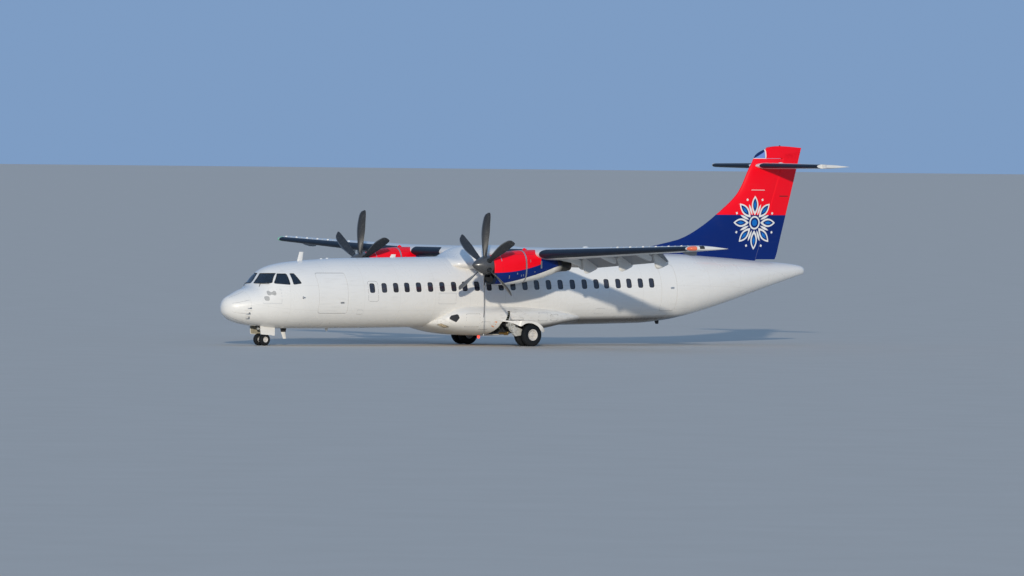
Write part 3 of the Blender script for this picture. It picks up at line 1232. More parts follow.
for name, side in SIDES:
    cowl = Shell(NACELLE, lower_power=2.9, centre=side * ENGINE_Y, upper_power=2.5)
    stations = spread(COWL_FRONT, 12.69, 0.08)
    turn = spread(0.0, math.pi / 2, 0.4)
    lip = [cowl.ring(COWL_FRONT + 0.02 * (1 - math.cos(a)), -0.02 * (1 - math.sin(a))) for a in turn]
    skin = loft([cowl.ring(9.75, -0.05), cowl.ring(COWL_FRONT + 0.02, -0.035), *lip,
                 *[cowl.ring(x) for x in stations[1:]]])
    scoop = [(side * ENGINE_Y + a, z) for a, z in ((-0.29, 2.43), (0.29, 2.43), (0.30, 2.66), (0.20, 2.73),
                                                   (-0.20, 2.73), (-0.30, 2.66))]
    mouth = prism(rounded(scoop, 0.06), 0, 9.2, 10.1)
    throat = bar((9.2, side * ENGINE_Y, THRUST_Z), (9.76, side * ENGINE_Y, THRUST_Z), 0.30, count=48)
    duct_walls = carve(prism(rounded(scoop, 0.06), 0, COWL_FRONT + 0.03, 10.05),
                       [prism(rounded(scaled(scoop, -0.012), 0.06), 0, 9.2, 10.03)])
    screen = carve(loft([cowl.ring(COWL_FRONT + 0.04, -0.03), cowl.ring(COWL_FRONT + 0.055, -0.03)]),
                   [mouth, throat])
    splitter = side_block(side, (COWL_FRONT + 0.05, 9.9), (ENGINE_Y - 0.008, ENGINE_Y + 0.008), (2.43, 2.73))
    make_piece(f"intake_duct_{name}", [duct_walls, screen, splitter], dark_lining)
    band = loft([cowl.ring(COWL_FRONT + 0.05, -0.040), cowl.ring(COWL_FRONT, -0.040),
                 *[cowl.ring(COWL_FRONT - 0.004 + 0.022 * (1 - math.cos(a)),
                             0.004 - 0.022 * (1 - math.sin(a))) for a in turn],
                 cowl.ring(COWL_FRONT + 0.09, 0.004), cowl.ring(COWL_FRONT + 0.09, -0.004)], closed=True)
    below = prism([(9.2, 2.2), (9.2, 2.775), (COWL_FRONT + 0.09, 2.775), (COWL_FRONT + 0.16, 2.2)], 1,
                  side * 3.4, side * 4.7)
    make_piece(f"intake_boot_{name}", [carve(band, [below], "INTERSECT")], boot_rubber)
    blister = oval_loft(BLISTER, (10.92, side * ENGINE_Y, 3.64), 20)
    sleeve = loft([[(x, side * y + radius * math.cos(a), z + radius * math.sin(a)) for a in full_turn(40)]
                   for x, y, z, radius in SLEEVE])
    hollow = bar((12.40, side * EXHAUST_Y, EXHAUST_Z), (12.70, side * EXHAUST_Y, EXHAUST_Z), 0.206, count=40)
    make_piece(f"cowl_{name}", [carve(carve(skin, [mouth]), [throat]), carve(sleeve, [hollow]), blister],
               cowl_paint, stands_for=[f"nacelle_{name}"], shell=cowl)
    strap = [cowl.ring(10.63, 0.004), cowl.ring(10.69, 0.004), cowl.ring(10.69, -0.01),
             cowl.ring(10.63, -0.01)]
    latches, seams = [], []
    for face in (-1, 1):
        flank = cowl.seen_from_side(face)
        for x, z, half, tall in COWL_LATCHES:
            latches.append(cowl.plate(rounded(rectangle(x - half, x + half, z - tall, z + tall), 0.008),
                                      flank, 0.004, -0.003, rings=1))
        for x0, x1, z0, z1 in COWL_DOORS:
            door = rounded(rectangle(x0, x1, z0, z1), 0.02)
            seams.append(cowl.plate(door, flank, 0.0008, -0.004, scaled(door, -0.006), 1))
    make_piece(f"cowl_strap_and_latches_{name}", [loft(strap, closed=True), *latches], strap_metal)
    make_piece(f"cowl_seams_{name}", seams, rubber)
    (x0, x1), half, (z0, z1) = ENGINE_BLOCK
    core = side_block(side, (x0, x1), (ENGINE_Y - half, ENGINE_Y + half), (z0, z1))
    shaft = bar((DISC_STATION + 0.24, side * ENGINE_Y, THRUST_Z), (x0 + 0.02, side * ENGINE_Y, THRUST_Z),
                0.11)
    duct = bar((x1 - 0.05, side * 4.15, 3.03), (12.2, side * EXHAUST_Y, EXHAUST_Z), 0.12, 0.15)
    rim = EXHAUST_RADIUS
    tail_pipe = lathe([(rim - 0.012, 12.20), (rim, 12.20), (rim, 12.72), (0.97 * rim + 0.006, 12.78),
                       (0.97 * rim, EXHAUST_END), (rim - 0.014, EXHAUST_END), (rim - 0.016, 12.5)],
                      (0.0, side * EXHAUST_Y, EXHAUST_Z), 0)
    screen = lathe([(0.0, 12.32), (0.07, 12.34), (0.10, 12.42), (0.05, 12.60), (0.0, 12.68)],
                   (0.0, side * EXHAUST_Y, EXHAUST_Z), 0, 32)
    vanes = [pipe([(12.4, side * EXHAUST_Y + 0.06 * math.cos(a), EXHAUST_Z + 0.06 * math.sin(a)),
                   (12.4, side * EXHAUST_Y + 0.17 * math.cos(a), EXHAUST_Z + 0.17 * math.sin(a))], 0.008, 6)
             for a in full_turn(6)]
    make_piece(f"power_plant_{name}", [core, shaft, duct, tail_pipe, screen, *vanes], hot_metal,
               stands_for=[f"engine_{name}"], bevel=0.003)


# Propellers: six composite blades with swept tips, each in a root cuff with an electric heating mat, and a
# nickel strip on its leading edge. They turn in a hub behind a dark spinner.
BLADES, BLADE_TIP, HUB_RADIUS = 6, 1.965, 0.150
# radius, chord, angle to the disc in degrees, thickness ratio, sweep of the mid-chord
BLADE = [(0.15, 0.110, 62, 0.90, 0.000), (0.28, 0.118, 58, 0.72, 0.000), (0.40, 0.150, 54, 0.35, 0.000),
         (0.60, 0.205, 49, 0.20, 0.000), (0.80, 0.250, 44, 0.14, 0.000), (1.30, 0.330, 35, 0.08, 0.020),
         (1.75, 0.290, 29, 0.06, 0.070), (1.92, 0.190, 27, 0.06, 0.120), (BLADE_TIP, 0.060, 27, 0.06, 0.165)]
blade_at = smooth_table(BLADE)


def blade_ring(radius, front=0.0, back=1.0, rise=0.0, count=14):
    """A section of the top blade: its leading edge is ahead and to the right, its full side faces ahead."""
    chord, degrees, ratio, sweep = blade_at(radius)
    angle = math.radians(degrees)
    ring = []
    for face, order in ((1, range(count, -1, -1)), (-1, range(1, count))):
        for k in order:
            u = front + (back - front) * (k / count) ** 1.5
            half = half_thickness(u, 0.1036)
            along = (u - 0.5) * chord + sweep
            across = (face * half * ratio + 0.12 * ratio * 4 * u * (1 - u)) * chord + face * rise
            ring.append((along * math.sin(angle) - across * math.cos(angle),
                         -along * math.cos(angle) - across * math.sin(angle), radius))
    return ring


def turned_about_shaft(part, angle, side):
    """A part made about the origin, turned about a propeller's shaft and moved to its disc."""
    points, faces = part
    c, s = math.cos(angle), math.sin(angle)
    return [(DISC_STATION + x, side * ENGINE_Y + y * c - z * s, THRUST_Z + y * s + z * c)
            for x, y, z in points], faces


blade_paint, tree, shader = new_material("blade paint", 0.42, Coat_Weight=0.2)
place = object_place(tree)
scuffs = place_group(tree, weather, Place=place, Streak_Length=0.6)
base = mix_colours(tree, math_node(tree, "MULTIPLY", scuffs["Streaks"], 0.5), (0.020, 0.022, 0.026, 1.0),
                   grey(0.09))
tree.links.new(base, shader.inputs["Base Color"])
vary_roughness(tree, shader, scuffs["Haze"], 0.34, 0.55)
nickel = mottled("nickel strip", 0.30, 0.9, 60.0, 3.0, grey(0.16), grey(0.30))
spinner_paint, tree, shader = new_material("spinner paint", 0.32, Coat_Weight=0.4, Coat_Roughness=0.15)
place = object_place(tree)
dust = place_group(tree, weather, Place=place, Streak_Length=1.5)
tree.links.new(mix_colours(tree, math_node(tree, "MULTIPLY", dust["Haze"], 0.5), (0.045, 0.047, 0.052, 1.0),
                           grey(0.12)),
               shader.inputs["Base Color"])
vary_roughness(tree, shader, dust["Streaks"], 0.27, 0.42)

SPINNER_TIP, SPINNER_BACK, SPINNER_RADIUS, SPINNER_WALL = 8.520, 9.280, 0.365, 0.012
radii = spread(0.15, BLADE_TIP, 0.055)
for name, side in SIDES:
    blades, strips = [], []
    for angle in full_turn(BLADES):
        blades.append(turned_about_shaft(loft([blade_ring(r) for r in radii]), angle, side))
        cuff = bar((0, 0, 0.09), (0, 0, 0.33), 0.062, count=24)
        collar = bar((0, 0, 0.315), (0, 0, 0.355), 0.078, 0.070, count=24)
        blades += [turned_about_shaft(part, angle, side) for part in (cuff, collar)]
        edge = loft([blade_ring(r, 0.0, 0.11, 0.0016, 6) for r in radii if 0.75 < r < 1.95])
        strips.append(turned_about_shaft(edge, angle, side))
    hub = lathe([(0.0, -0.17), (0.14, -0.17), (HUB_RADIUS, -0.10), (HUB_RADIUS, 0.24), (0.0, 0.24)],
                (DISC_STATION, side * ENGINE_Y, THRUST_Z), 0, 48)
    body = f"propeller_{name}"
    make_piece(f"{body}_blades", [*blades, hub], blade_paint, body, [body])
    make_piece(f"{body}_edges", strips, nickel, body)
    depth = SPINNER_BACK - SPINNER_TIP
    outer = [(SPINNER_RADIUS * (1 - (1 - s) ** 1.9) ** 0.78, SPINNER_TIP + depth * s)
             for s in [t ** 1.6 for t in spread(0.0, 1.0, 0.04)]]
    inner = [(max(r - SPINNER_WALL, 0.0), x + (0.02 if x < SPINNER_TIP + 0.1 else 0.0))
             for r, x in reversed(outer)]
    cone = lathe(outer + inner, (0.0, side * ENGINE_Y, THRUST_Z), 0, 72)
    plate = lathe([(HUB_RADIUS + 0.002, 9.225), (SPINNER_RADIUS - 0.016, 9.225),
                   (SPINNER_RADIUS - 0.014, 9.250), (HUB_RADIUS + 0.002, 9.250)],
                  (0.0, side * ENGINE_Y, THRUST_Z), 0, 72)
    hole = bar((0, 0, 0.17), (0, 0, 0.50), 0.095, count=32)
    holes = [turned_about_shaft(hole, angle, side) for angle in full_turn(BLADES)]
    make_piece(f"spinner_{name}_cone", [carve(cone, holes), plate], spinner_paint, body,
               [f"spinner_{name}"])


# Tail fin: a tall swept box with a long dorsal fillet, painted red over blue with a rosette across fin and
# rudder. Its cap above the tailplane ends ahead of the rudder's balance horn.
# height, leading edge station, trailing edge station, thickness ratio
FIN = [(3.15, 18.30, 25.73, 0.030), (3.48, 18.70, 25.88, 0.035), (3.80, 20.00, 25.97, 0.045),
       (4.06, 21.22, 26.04, 0.055), (4.54, 22.24, 26.175, 0.075), (4.99, 22.93, 26.30, 0.090),
       (5.87, 23.99, 26.55, 0.110), (6.84, 24.53, 26.82, 0.115), (7.02, 24.64, 26.87, 0.115),
       (7.30, 24.80, 26.945, 0.110), (7.57, 25.34, 27.02, 0.090), (7.65, 25.80, 27.04, 0.060)]
HINGE_FOOT, HINGE_HEAD = (24.866, 0.0, 3.30), (26.297, 0.0, 7.65)
RUDDER_FOOT, HORN_FLOOR, HORN_FRONT, TAIL_HEIGHT = 3.290, 7.190, 25.260, 6.900
FIN_LINE, CAP_LINE = 5.00, 7.19
ROSETTE = (24.72, 4.70, 1.04)
fin_rows = smooth_table(FIN)


def fin_section(z):
    lead, trail, ratio = fin_rows(z)
    (foot_x, _, foot_z), (head_x, _, head_z) = HINGE_FOOT, HINGE_HEAD
    hinge = foot_x + (z - foot_z) * (head_x - foot_x) / (head_z - foot_z)
    return Section(lead, trail - lead, 0.0, ratio, 0.0, 0.0, (hinge - lead) / (trail - lead))


def fin_span(shape, levels):
    return loft([[(x, y, z) for x, y in shape(fin_section(z))] for z in levels])


def inside(tree, value, edge=0.007):
    """One where a value is above zero, with a soft edge."""
    return math_node(tree, "ADD", math_node(tree, "DIVIDE", value, edge), 0.5, clamp=True)


def petal(tree, radius, angle, middle, half_length, half_width, offset=0.0, pointed=False):
    """Eight lens or diamond shapes round a centre, folded onto one."""
    fold = add_node(tree, "ShaderNodeMath", {0: math_node(tree, "ADD", angle, offset), 1: math.pi / 8},
                    operation="PINGPONG").outputs[0]
    along = math_node(tree, "MULTIPLY", radius, math_node(tree, "COSINE", fold))
    across = math_node(tree, "MULTIPLY", radius, math_node(tree, "SINE", fold))
    share = math_node(tree, "DIVIDE",
                      math_node(tree, "ABSOLUTE", math_node(tree, "SUBTRACT", along, middle)), half_length)
    if not pointed:
        share = math_node(tree, "MULTIPLY", share, share)
    width = math_node(tree, "MULTIPLY", math_node(tree, "SUBTRACT", 1.0, share), half_width)
    return inside(tree, math_node(tree, "SUBTRACT", width, across))


def fin_zones(tree, x, y, z):
    base = mix_colours(tree, inside(tree, math_node(tree, "SUBTRACT", z, FIN_LINE)), NAVY_PAINT, RED_PAINT)
    across = math_node(tree, "SUBTRACT", x, ROSETTE[0] + BOW_X)
    up = math_node(tree, "SUBTRACT", z, ROSETTE[1])
    square = math_node(tree, "ADD", math_node(tree, "MULTIPLY", across, across),
                       math_node(tree, "MULTIPLY", up, up))
    radius = math_node(tree, "DIVIDE", math_node(tree, "SQRT", square), ROSETTE[2])
    angle = math_node(tree, "ARCTAN2", up, across)
    white, blue = (0.82, 0.82, 0.80, 1.0), (0.005, 0.16, 0.56, 1.0)
    for colour, middle, length, width, offset, pointed in (
            (white, 0.64, 0.36, 0.155, 0.0, False), (NAVY_PAINT, 0.66, 0.255, 0.095, 0.0, False),
            (blue, 0.66, 0.17, 0.062, 0.0, True), (white, 0.52, 0.22, 0.045, math.pi / 8, False),
            (white, 0.92, 0.055, 0.055, math.pi / 8, True)):
        base = mix_colours(tree, petal(tree, radius, angle, middle, length, width, offset, pointed), base,
                           colour)
    for colour, reach in ((white, 0.25), (NAVY_PAINT, 0.19), (blue, 0.12)):
        base = mix_colours(tree, inside(tree, math_node(tree, "SUBTRACT", reach, radius)), base, colour)
    return base


def cap_zones(tree, x, y, z):
    """Red at the foot of the cap, then pale blue with a dark blue heated edge and a white rim."""
    run = math_node(tree, "SUBTRACT", x, HORN_FRONT + BOW_X)
    rise = math_node(tree, "SUBTRACT", math_node(tree, "SUBTRACT", z, 7.475),
                     math_node(tree, "MULTIPLY", run, 0.55))
    nose = mix_colours(tree, inside(tree, rise, 0.02), (0.17, 0.27, 0.62, 1.0), (0.002, 0.016, 0.10, 1.0))
    ahead = inside(tree, math_node(tree, "SUBTRACT", -0.055, run))
    base = mix_colours(tree, inside(tree, math_node(tree, "SUBTRACT", z, CAP_LINE - 0.02)), RED_PAINT,
                       KEEL_WHITE)
    above = math_node(tree, "MULTIPLY", ahead, inside(tree, math_node(tree, "SUBTRACT", z, CAP_LINE)))
    nose = mix_colours(tree, above, base, nose)
    return mix_colours(tree, inside(tree, math_node(tree, "SUBTRACT", 0.0, run)), RED_PAINT, nose)


fin_paint = painted("fin paint", fin_zones, roughness=0.38, dirt=0.06, coat=0.0, specular=0.3)
cap_paint = painted("fin cap paint", cap_zones, roughness=0.25, dirt=0.06, coat=0.2, specular=0.4)

notch = block((25.83, -0.3, TAIL_HEIGHT - 0.13), (27.0, 0.3, 7.10))
fin_box = carve(fin_span(fixed_part, spread(3.15, TAIL_HEIGHT, 0.11)), [notch])
make_piece("fin_box", [fin_box], fin_paint, stands_for=["fin"])
slot_tool = prism([(HORN_FRONT - 0.025, HORN_FLOOR - 0.012), (27.2, HORN_FLOOR - 0.012), (27.2, 7.75),
                   (25.44, 7.75)], 1, -0.5, 0.5)
cap = carve(fin_span(fixed_part, spread(TAIL_HEIGHT + 0.001, 7.57, 0.06)), [slot_tool])
make_piece("fin_cap_shell", [cap], cap_paint, stands_for=["fin_cap"])
vent = block((24.54, -0.155, 5.950), (25.17, 0.155, 5.972))
make_piece("fin_side_strips", [vent], wing_paint)

rudder_levels = spread(RUDDER_FOOT, 7.66, 0.1)
# the rudder's head: its front leans with the fin's edge, and its top falls away aft
HORN_SHAPE = [(HORN_FRONT, HORN_FLOOR - 0.1), (HORN_FRONT, HORN_FLOOR), (25.385, 7.600), (25.50, 7.632),
              (25.80, 7.662), (26.00, 7.664), (26.40, 7.648), (27.20, 7.592), (27.20, HORN_FLOOR - 0.1)]


def horn_section(z):
    """The fin's section where the rudder's horn takes over its front."""
    section = fin_section(z)
    lead = min(section.lead, 24.95)
    return section._replace(lead=lead, chord=section.chord + section.lead - lead,
                            thickness=max(section.thickness, 0.085))


horn = carve(loft([[(x, y, z) for x, y in whole_section(horn_section(z))]
                   for z in spread(HORN_FLOOR, 7.67, 0.06)]),
             [prism(HORN_SHAPE, 1, -0.5, 0.5)], "INTERSECT")
head_cut = prism([(25.0, 7.9), *HORN_SHAPE[2:8], (27.2, 7.9)], 1, -0.5, 0.5)
foot = Vector(HINGE_FOOT)
hinge_rise = (Vector(HINGE_HEAD) - foot).normalized()
pin = bar(foot + hinge_rise * 0.08, foot - hinge_rise * 0.032, 0.02)
make_piece("rudder_blade", [carve(fin_span(moving_part, rudder_levels), [head_cut]), horn, pin], fin_paint,
           "rudder",
           ["rudder"])


# Tailplane: a swept box across the top of the fin, with black boots ahead and two elevators behind. The
# elevators' horns at the tips balance them.
TAIL_HALF_SPAN, TAIL_HINGE, TAIL_ROOT, TAIL_PIVOT_Z = 3.655, 26.050, 0.300, 6.893
HORN_INNER, ELEVATOR_INNER, HORN_DEPTH = 3.360, 0.420, 0.560


def tail_section(y):
    t = max(0.0, abs(y) - TAIL_ROOT) / (TAIL_HALF_SPAN - TAIL_ROOT)
    lead, trail = 24.75 + 0.55 * t, 26.64 - 0.06 * t
    return Section(lead, trail - lead, TAIL_HEIGHT, 0.125, 0.010, 0.0, (TAIL_HINGE - lead) / (trail - lead))


edge = HORN_INNER - SPAN_GAP
gap = ELEVATOR_INNER - SPAN_GAP
notch = block((TAIL_HINGE - 0.22, -gap, 6.5), (27.0, gap, 7.3))
arms = [side_block(side, (TAIL_HINGE - 0.25, TAIL_HINGE + 0.03), (gap - 0.022, gap),
                   (TAIL_PIVOT_Z - 0.03, TAIL_PIVOT_Z + 0.03)) for _, side in SIDES]
box = carve(span(fixed_part, tail_section, (-edge, -TAIL_ROOT, TAIL_ROOT, edge)), [notch])
make_piece("tailplane_box", [box, *arms], wing_paint, stands_for=["tailplane"])
tail_boots = [span(boot_section(0.11), tail_section, [side * y for y in (0.34, 1.8, edge - 0.01)])
              for _, side in SIDES]
make_piece("tailplane_boots", tail_boots, boot_rubber)


def elevator_tip(side):
    """The horn and the rounded end of an elevator."""
    rings = []
    for t in spread(0.0, 1.0, 0.1):
        y = HORN_INNER + (TAIL_HALF_SPAN - HORN_INNER) * math.sin(t * math.pi / 2)
        share = 0.35 + 0.65 * math.cos(t * math.pi / 2) ** 0.5
        rings.append([(x, side * y, TAIL_HEIGHT + (z - TAIL_HEIGHT) * share)
                      for x, z in whole_section(tail_section(y))])
    front = TAIL_HINGE - HORN_DEPTH
    return carve(loft(rings), [side_block(side, (front, 27.0), (3.0, 4.0), (6.5, 7.3))], "INTERSECT")


for name, side in SIDES:
    blade = span(moving_part, tail_section, (side * ELEVATOR_INNER, side * (HORN_INNER + 0.001)))
    pin = bar((TAIL_HINGE, side * (ELEVATOR_INNER + 0.06), TAIL_PIVOT_Z),
              (TAIL_HINGE, side * (ELEVATOR_INNER - SPAN_GAP + 0.0003), TAIL_PIVOT_Z), 0.02)
    make_piece(f"elevator_{name}_blade", [blade, elevator_tip(side), pin], wing_paint,
               f"elevator_{name}", [f"elevator_{name}"])


# Belly fairing: laminate panels over the gear frames, with an open bay for each pair of main wheels. It
# holds the landing lights, the air inlets, the red beacon and the access panels.
# station, half width, top, bottom, height of the widest point
BELLY_ROWS = [(8.78, 0.80, 0.90, 0.75), (8.90, 1.04, 0.98, 0.71), (9.06, 1.27, 1.11, 0.65),
              (9.30, 1.49, 1.31, 0.585), (9.55, 1.62, 1.47, 0.53), (9.80, 1.70, 1.59, 0.48),
              (10.20, 1.76, 1.67, 0.425), (10.90, 1.79, 1.70, 0.38), (11.90, 1.78, 1.70, 0.365),
              (13.20, 1.66, 1.64, 0.50), (14.20, 1.51, 1.54, 0.625), (15.00, 1.33, 1.36, 0.77),
              (15.70, 1.08, 1.19, 0.85)]
BELLY = [(x, half, top, bottom, (top + bottom) / 2 + 0.1) for x, half, top, bottom in BELLY_ROWS]
BAY_X, BAY_INNER, BAY_OUTER, BAY_TOP = (11.62, 13.25), 1.00, 1.60, 1.13
BAY_MOUTH = [(11.12, 0.20), (11.18, 0.30), (11.29, 0.43), (11.45, 0.70), (11.53, 0.85), (11.62, 0.945),
             (11.75, 0.967), (12.05, 0.984), (12.28, 0.989), (12.42, 0.977), (12.58, 0.955), (12.74, 0.910),
             (12.88, 0.831), (13.005, 0.72), (13.08, 0.60), (13.10, 0.20)]
RUNG_SLOT = [(11.74, 0.98), (11.87, 0.98), (11.99, 1.32), (11.88, 1.32)]
AIR_INLET = rounded([(9.17, 1.09), (9.63, 1.205), (9.68, 1.06), (9.57, 0.89)], [0.02, 0.05, 0.03, 0.05])
LAMP_COVER = rounded([(8.98, 0.80), (9.10, 0.845), (9.47, 0.70), (9.30, 0.675)], [0.03, 0.04, 0.03, 0.05])
belly = Shell(BELLY, lower_power=3.0)
belly_paint = painted("white belly paint", keel_film(12.8, 0.76, 0.135), roughness=0.32, dirt=0.55,
                      streak=5.0)

cuts, bay_lining, bay_frames = [], [], []
under_skin = belly.length(9.0, 13.6, 0.2, grow=-0.02)
for _, side in SIDES:
    seen = belly.seen_from_side(side)
    cuts += [prism(BAY_MOUTH, 1, side * BAY_INNER, side * 2.2), prism(RUNG_SLOT, 1, side * 1.35, side * 2.2),
             side_block(side, BAY_X, (BAY_INNER, BAY_OUTER), (0.0, BAY_TOP)),
             prism(AIR_INLET, 1, side * 1.50, side * 2.0), prism(LAMP_COVER, 1, side * 1.15, side * 2.0)]
    (x0, x1), inner = BAY_X, BAY_INNER
    front = [(x + 0.003, z) for x, z in BAY_MOUTH[:6]] + [(x + 0.014, z) for x, z in BAY_MOUTH[5::-1]]
    walls = [side_block(side, (x0 - 0.2, x1), (inner - 0.02, 1.75), (BAY_TOP - 0.02, BAY_TOP + 0.02)),
             side_block(side, (x0 - 0.5, x1), (inner - 0.03, inner + 0.01), (0.3, BAY_TOP)),
             side_block(side, (x1 - 0.02, x1 + 0.02), (inner - 0.02, 1.75), (0.3, BAY_TOP)),
             side_block(side, (x0 - 0.02, x0 + 0.01), (inner - 0.02, 1.75), (0.93, BAY_TOP)),
             prism(front, 1, side * (inner - 0.02), side * 1.78)]
    bay_lining += [carve(wall, [under_skin], "INTERSECT") for wall in walls]
    bay_lining.append(belly.plate(AIR_INLET, seen, -0.010, -0.025))
    bay_lining.append(belly.plate(RUNG_SLOT, seen, -0.07, -0.09))
    bay_lining.append(belly.plate(RUNG_SLOT, seen, -0.001, -0.08, scaled(RUNG_SLOT, -0.006), 1))
    bay_lining.append(belly.plate(AIR_INLET, seen, -0.003, -0.11, scaled(AIR_INLET, -0.006), 1))
    for x in (11.95, 12.35, 12.80):
        bay_frames.append(side_block(side, (x - 0.02, x + 0.02), (inner + 0.01, inner + 0.09),
                                     (0.62, BAY_TOP - 0.02)))
        bay_frames.append(side_block(side, (x - 0.02, x + 0.02), (inner + 0.01, 1.55),
                                     (BAY_TOP - 0.09, BAY_TOP - 0.02)))
    for k in range(4):
        z = 1.03 + 0.075 * k
        x = 11.76 + 0.36 * (z - 0.98)
        ends = [Vector(seen(px, z + rise)) for px, rise in ((x, 0.0), (x + 0.11, 0.012))]
        out = belly.normal(ends[0])
        bay_frames.append(bar(ends[0] - out * 0.02, ends[1] - out * 0.02, 0.007, count=8))
belly_skin = belly.length(8.78, 15.70, 0.1)
for cut in cuts:
    belly_skin = carve(belly_skin, [cut])
make_piece("belly_fairing_skin", [belly_skin], belly_paint, stands_for=["belly_fairing"],
           shell=belly)
make_piece("wheel_bay_lining", bay_lining, dark_lining)
make_piece("wheel_bay_frames", bay_frames, door_lining, bevel=0.003)

panel_seams, panel_plates = [], []
# station range and height range of the access panels on each flank
BELLY_PANELS = [(11.98, 12.62, 0.995, 1.30), (9.95, 10.55, 0.72, 1.22), (10.62, 11.02, 0.62, 0.92),
                (13.35, 13.85, 0.95, 1.25), (14.0, 14.4, 0.95, 1.2)]
for _, side in SIDES:
    seen = belly.seen_from_side(side)
    for k, (x0, x1, z0, z1) in enumerate(BELLY_PANELS):
        outline = rounded(rectangle(x0, x1, z0, z1), 0.03)
        if k == 0:
            panel_plates.append(belly.plate(outline, seen, 0.014, -0.004, rings=6))
            panel_seams.append(belly.plate(scaled(outline, 0.012), seen, 0.001, -0.004,
                                           scaled(outline, -0.002), 1))
        else:
            panel_seams.append(belly.plate(outline, seen, 0.0006, -0.004, scaled(outline, -0.006), 1))
        for px, pz in outline[::6]:
            spot = Vector(seen(px + (0.02 if px < (x0 + x1) / 2 else -0.02),
                               pz + (0.02 if pz < (z0 + z1) / 2 else -0.02)))
            out = belly.normal(spot)
            panel_seams.append(bar(spot, spot + out * (0.0155 if k == 0 else 0.0015), 0.006, count=8))
make_piece("belly_panel_seams", panel_seams, rubber)
make_piece("belly_access_panels", panel_plates, belly_paint, shell=None, crease=50)

# Lamps: landing lights behind clear covers, the red beacon below, and an amber placard with no wording
clear_cover = mottled("clear cover", 0.02, 0.0, 12.0, 2.0, (0.98, 0.94, 0.86, 1.0), (0.90, 0.84, 0.72, 1.0),
                      IOR=1.49, Transmission_Weight=0.9)
reflector = mottled("lamp reflector", 0.12, 1.0, 20.0, 2.0, (0.95, 0.88, 0.74, 1.0), (0.85, 0.72, 0.52, 1.0),
                    lit=True, Emission_Strength=0.16)
amber = mottled("amber placard", 0.4, 0.0, 14.0, 2.0, (0.80, 0.24, 0.09, 1.0), (0.82, 0.40, 0.20, 1.0))


ribbing, given, taken = new_group("moulded ribs", [("Across", "Float"), ("Scale", "Float")],
                                  [("Ribs", "Float")])
measure = add_node(ribbing, "ShaderNodeCombineXYZ", {2: given["Across"]})
wave = add_node(ribbing, "ShaderNodeTexWave", {"Vector": measure.outputs[0], "Scale": given["Scale"]},
                bands_direction="Z")
ribbing.links.new(wave.outputs["Fac"], taken["Ribs"])


def lit_glass(name, roughness, scale, axis, first, second, **extra):
    """Glass moulded with fine ribs across an axis, glowing in its own colour."""
    material, tree, shader = new_material(name, roughness, **extra)
    across = add_node(tree, "ShaderNodeSeparateXYZ", {0: object_place(tree)}).outputs[axis]
    ribs = place_group(tree, ribbing, Across=across, Scale=scale)["Ribs"]
    glow = mix_colours(tree, ribs, first, second)
    tree.links.new(glow, shader.inputs["Base Color"])
    tree.links.new(glow, shader.inputs["Emission Color"])
    return material


red_glass = lit_glass("lit red glass", 0.15, 30.0, 2, (0.95, 0.02, 0.02, 1.0), (1.0, 0.10, 0.06, 1.0),
                      Emission_Strength=2.4, Coat_Weight=0.6)
covers, lamps, placards = [], [], []
for _, side in SIDES:
    seen = belly.seen_from_side(side)
    covers.append(belly.plate(scaled(LAMP_COVER, 0.004), seen, 0.001, -0.006))
    lamps.append(belly.plate(scaled(LAMP_COVER, 0.002), seen, -0.055, -0.065))
    for x, z in ((9.12, 0.785), (9.28, 0.725)):
        spot = Vector(seen(x, z))
        out = belly.normal(spot)
        lamps.append(bar(spot - out * 0.06, spot - out * 0.012, 0.025, 0.055, 24))
    placard = rounded([(11.10, 0.75), (11.23, 0.93), (11.36, 0.93), (11.25, 0.70)], 0.03)
    placards.append(belly.plate(placard, seen, 0.001, -0.002, scaled(placard, -0.034), 1))
make_piece("landing_light_covers", covers, clear_cover)
make_piece("landing_lights", lamps, reflector)
make_piece("amber_placards", placards, amber)
beacon = lathe([(0.0, 0.255), (0.022, 0.258), (0.042, 0.272), (0.052, 0.300), (0.055, 0.380), (0.0, 0.380)],
               (11.76, 0.0, 0.0), 2, 32)
make_piece("belly_beacon", [beacon], red_glass)
beacon_foot = lathe([(0.0, 0.350), (0.060, 0.352), (0.068, 0.362), (0.080, 0.395), (0.0, 0.395)],
                    (11.76, 0.0, 0.0), 2, 32)
pads = [lathe([(0.0, 0.380), (0.050, 0.380), (0.060, 0.392), (0.060, 0.480), (0.0, 0.480)],
              (11.2, side * 1.1, 0.0), 2, 24)
        for _, side in SIDES]
make_piece("belly_fittings", [beacon_foot, *pads], bare_metal)


# Main gear: a forged leg reaches out from the fuselage frames to a knee. A trailing arm swings there with a
# shock absorber above it and carries an axle with a wheel and a brake on each side.
KNEE, LEG_HEAD = (11.930, 2.050, 0.640), (11.900, 1.090, 1.050)
SHOCK_HEAD, SHOCK_FOOT = (11.985, 1.885, 0.915), (12.180, 2.050, 0.570)
MAIN_AXLE, MAIN_SPACING = (12.570, 2.050, 0.432), 0.450
gear_paint = painted("pale gear enamel", (0.50, 0.505, 0.49, 1.0), roughness=0.35, dirt=1.2,
                     grime=(0.06, 0.055, 0.05, 1.0), streak=1.0, coat=0.25)
chrome = mottled("chromed rod", 0.10, 1.0, 25.0, 2.0, grey(0.75), grey(0.52))
cadmium = mottled("gold passivated steel", 0.35, 0.85, 18.0, 4.0, (0.62, 0.44, 0.17, 1.0),
                  (0.36, 0.22, 0.08, 1.0))


def at(side, point):
    """A point of the right side, on either side."""
    return point[0], side * point[1], point[2]


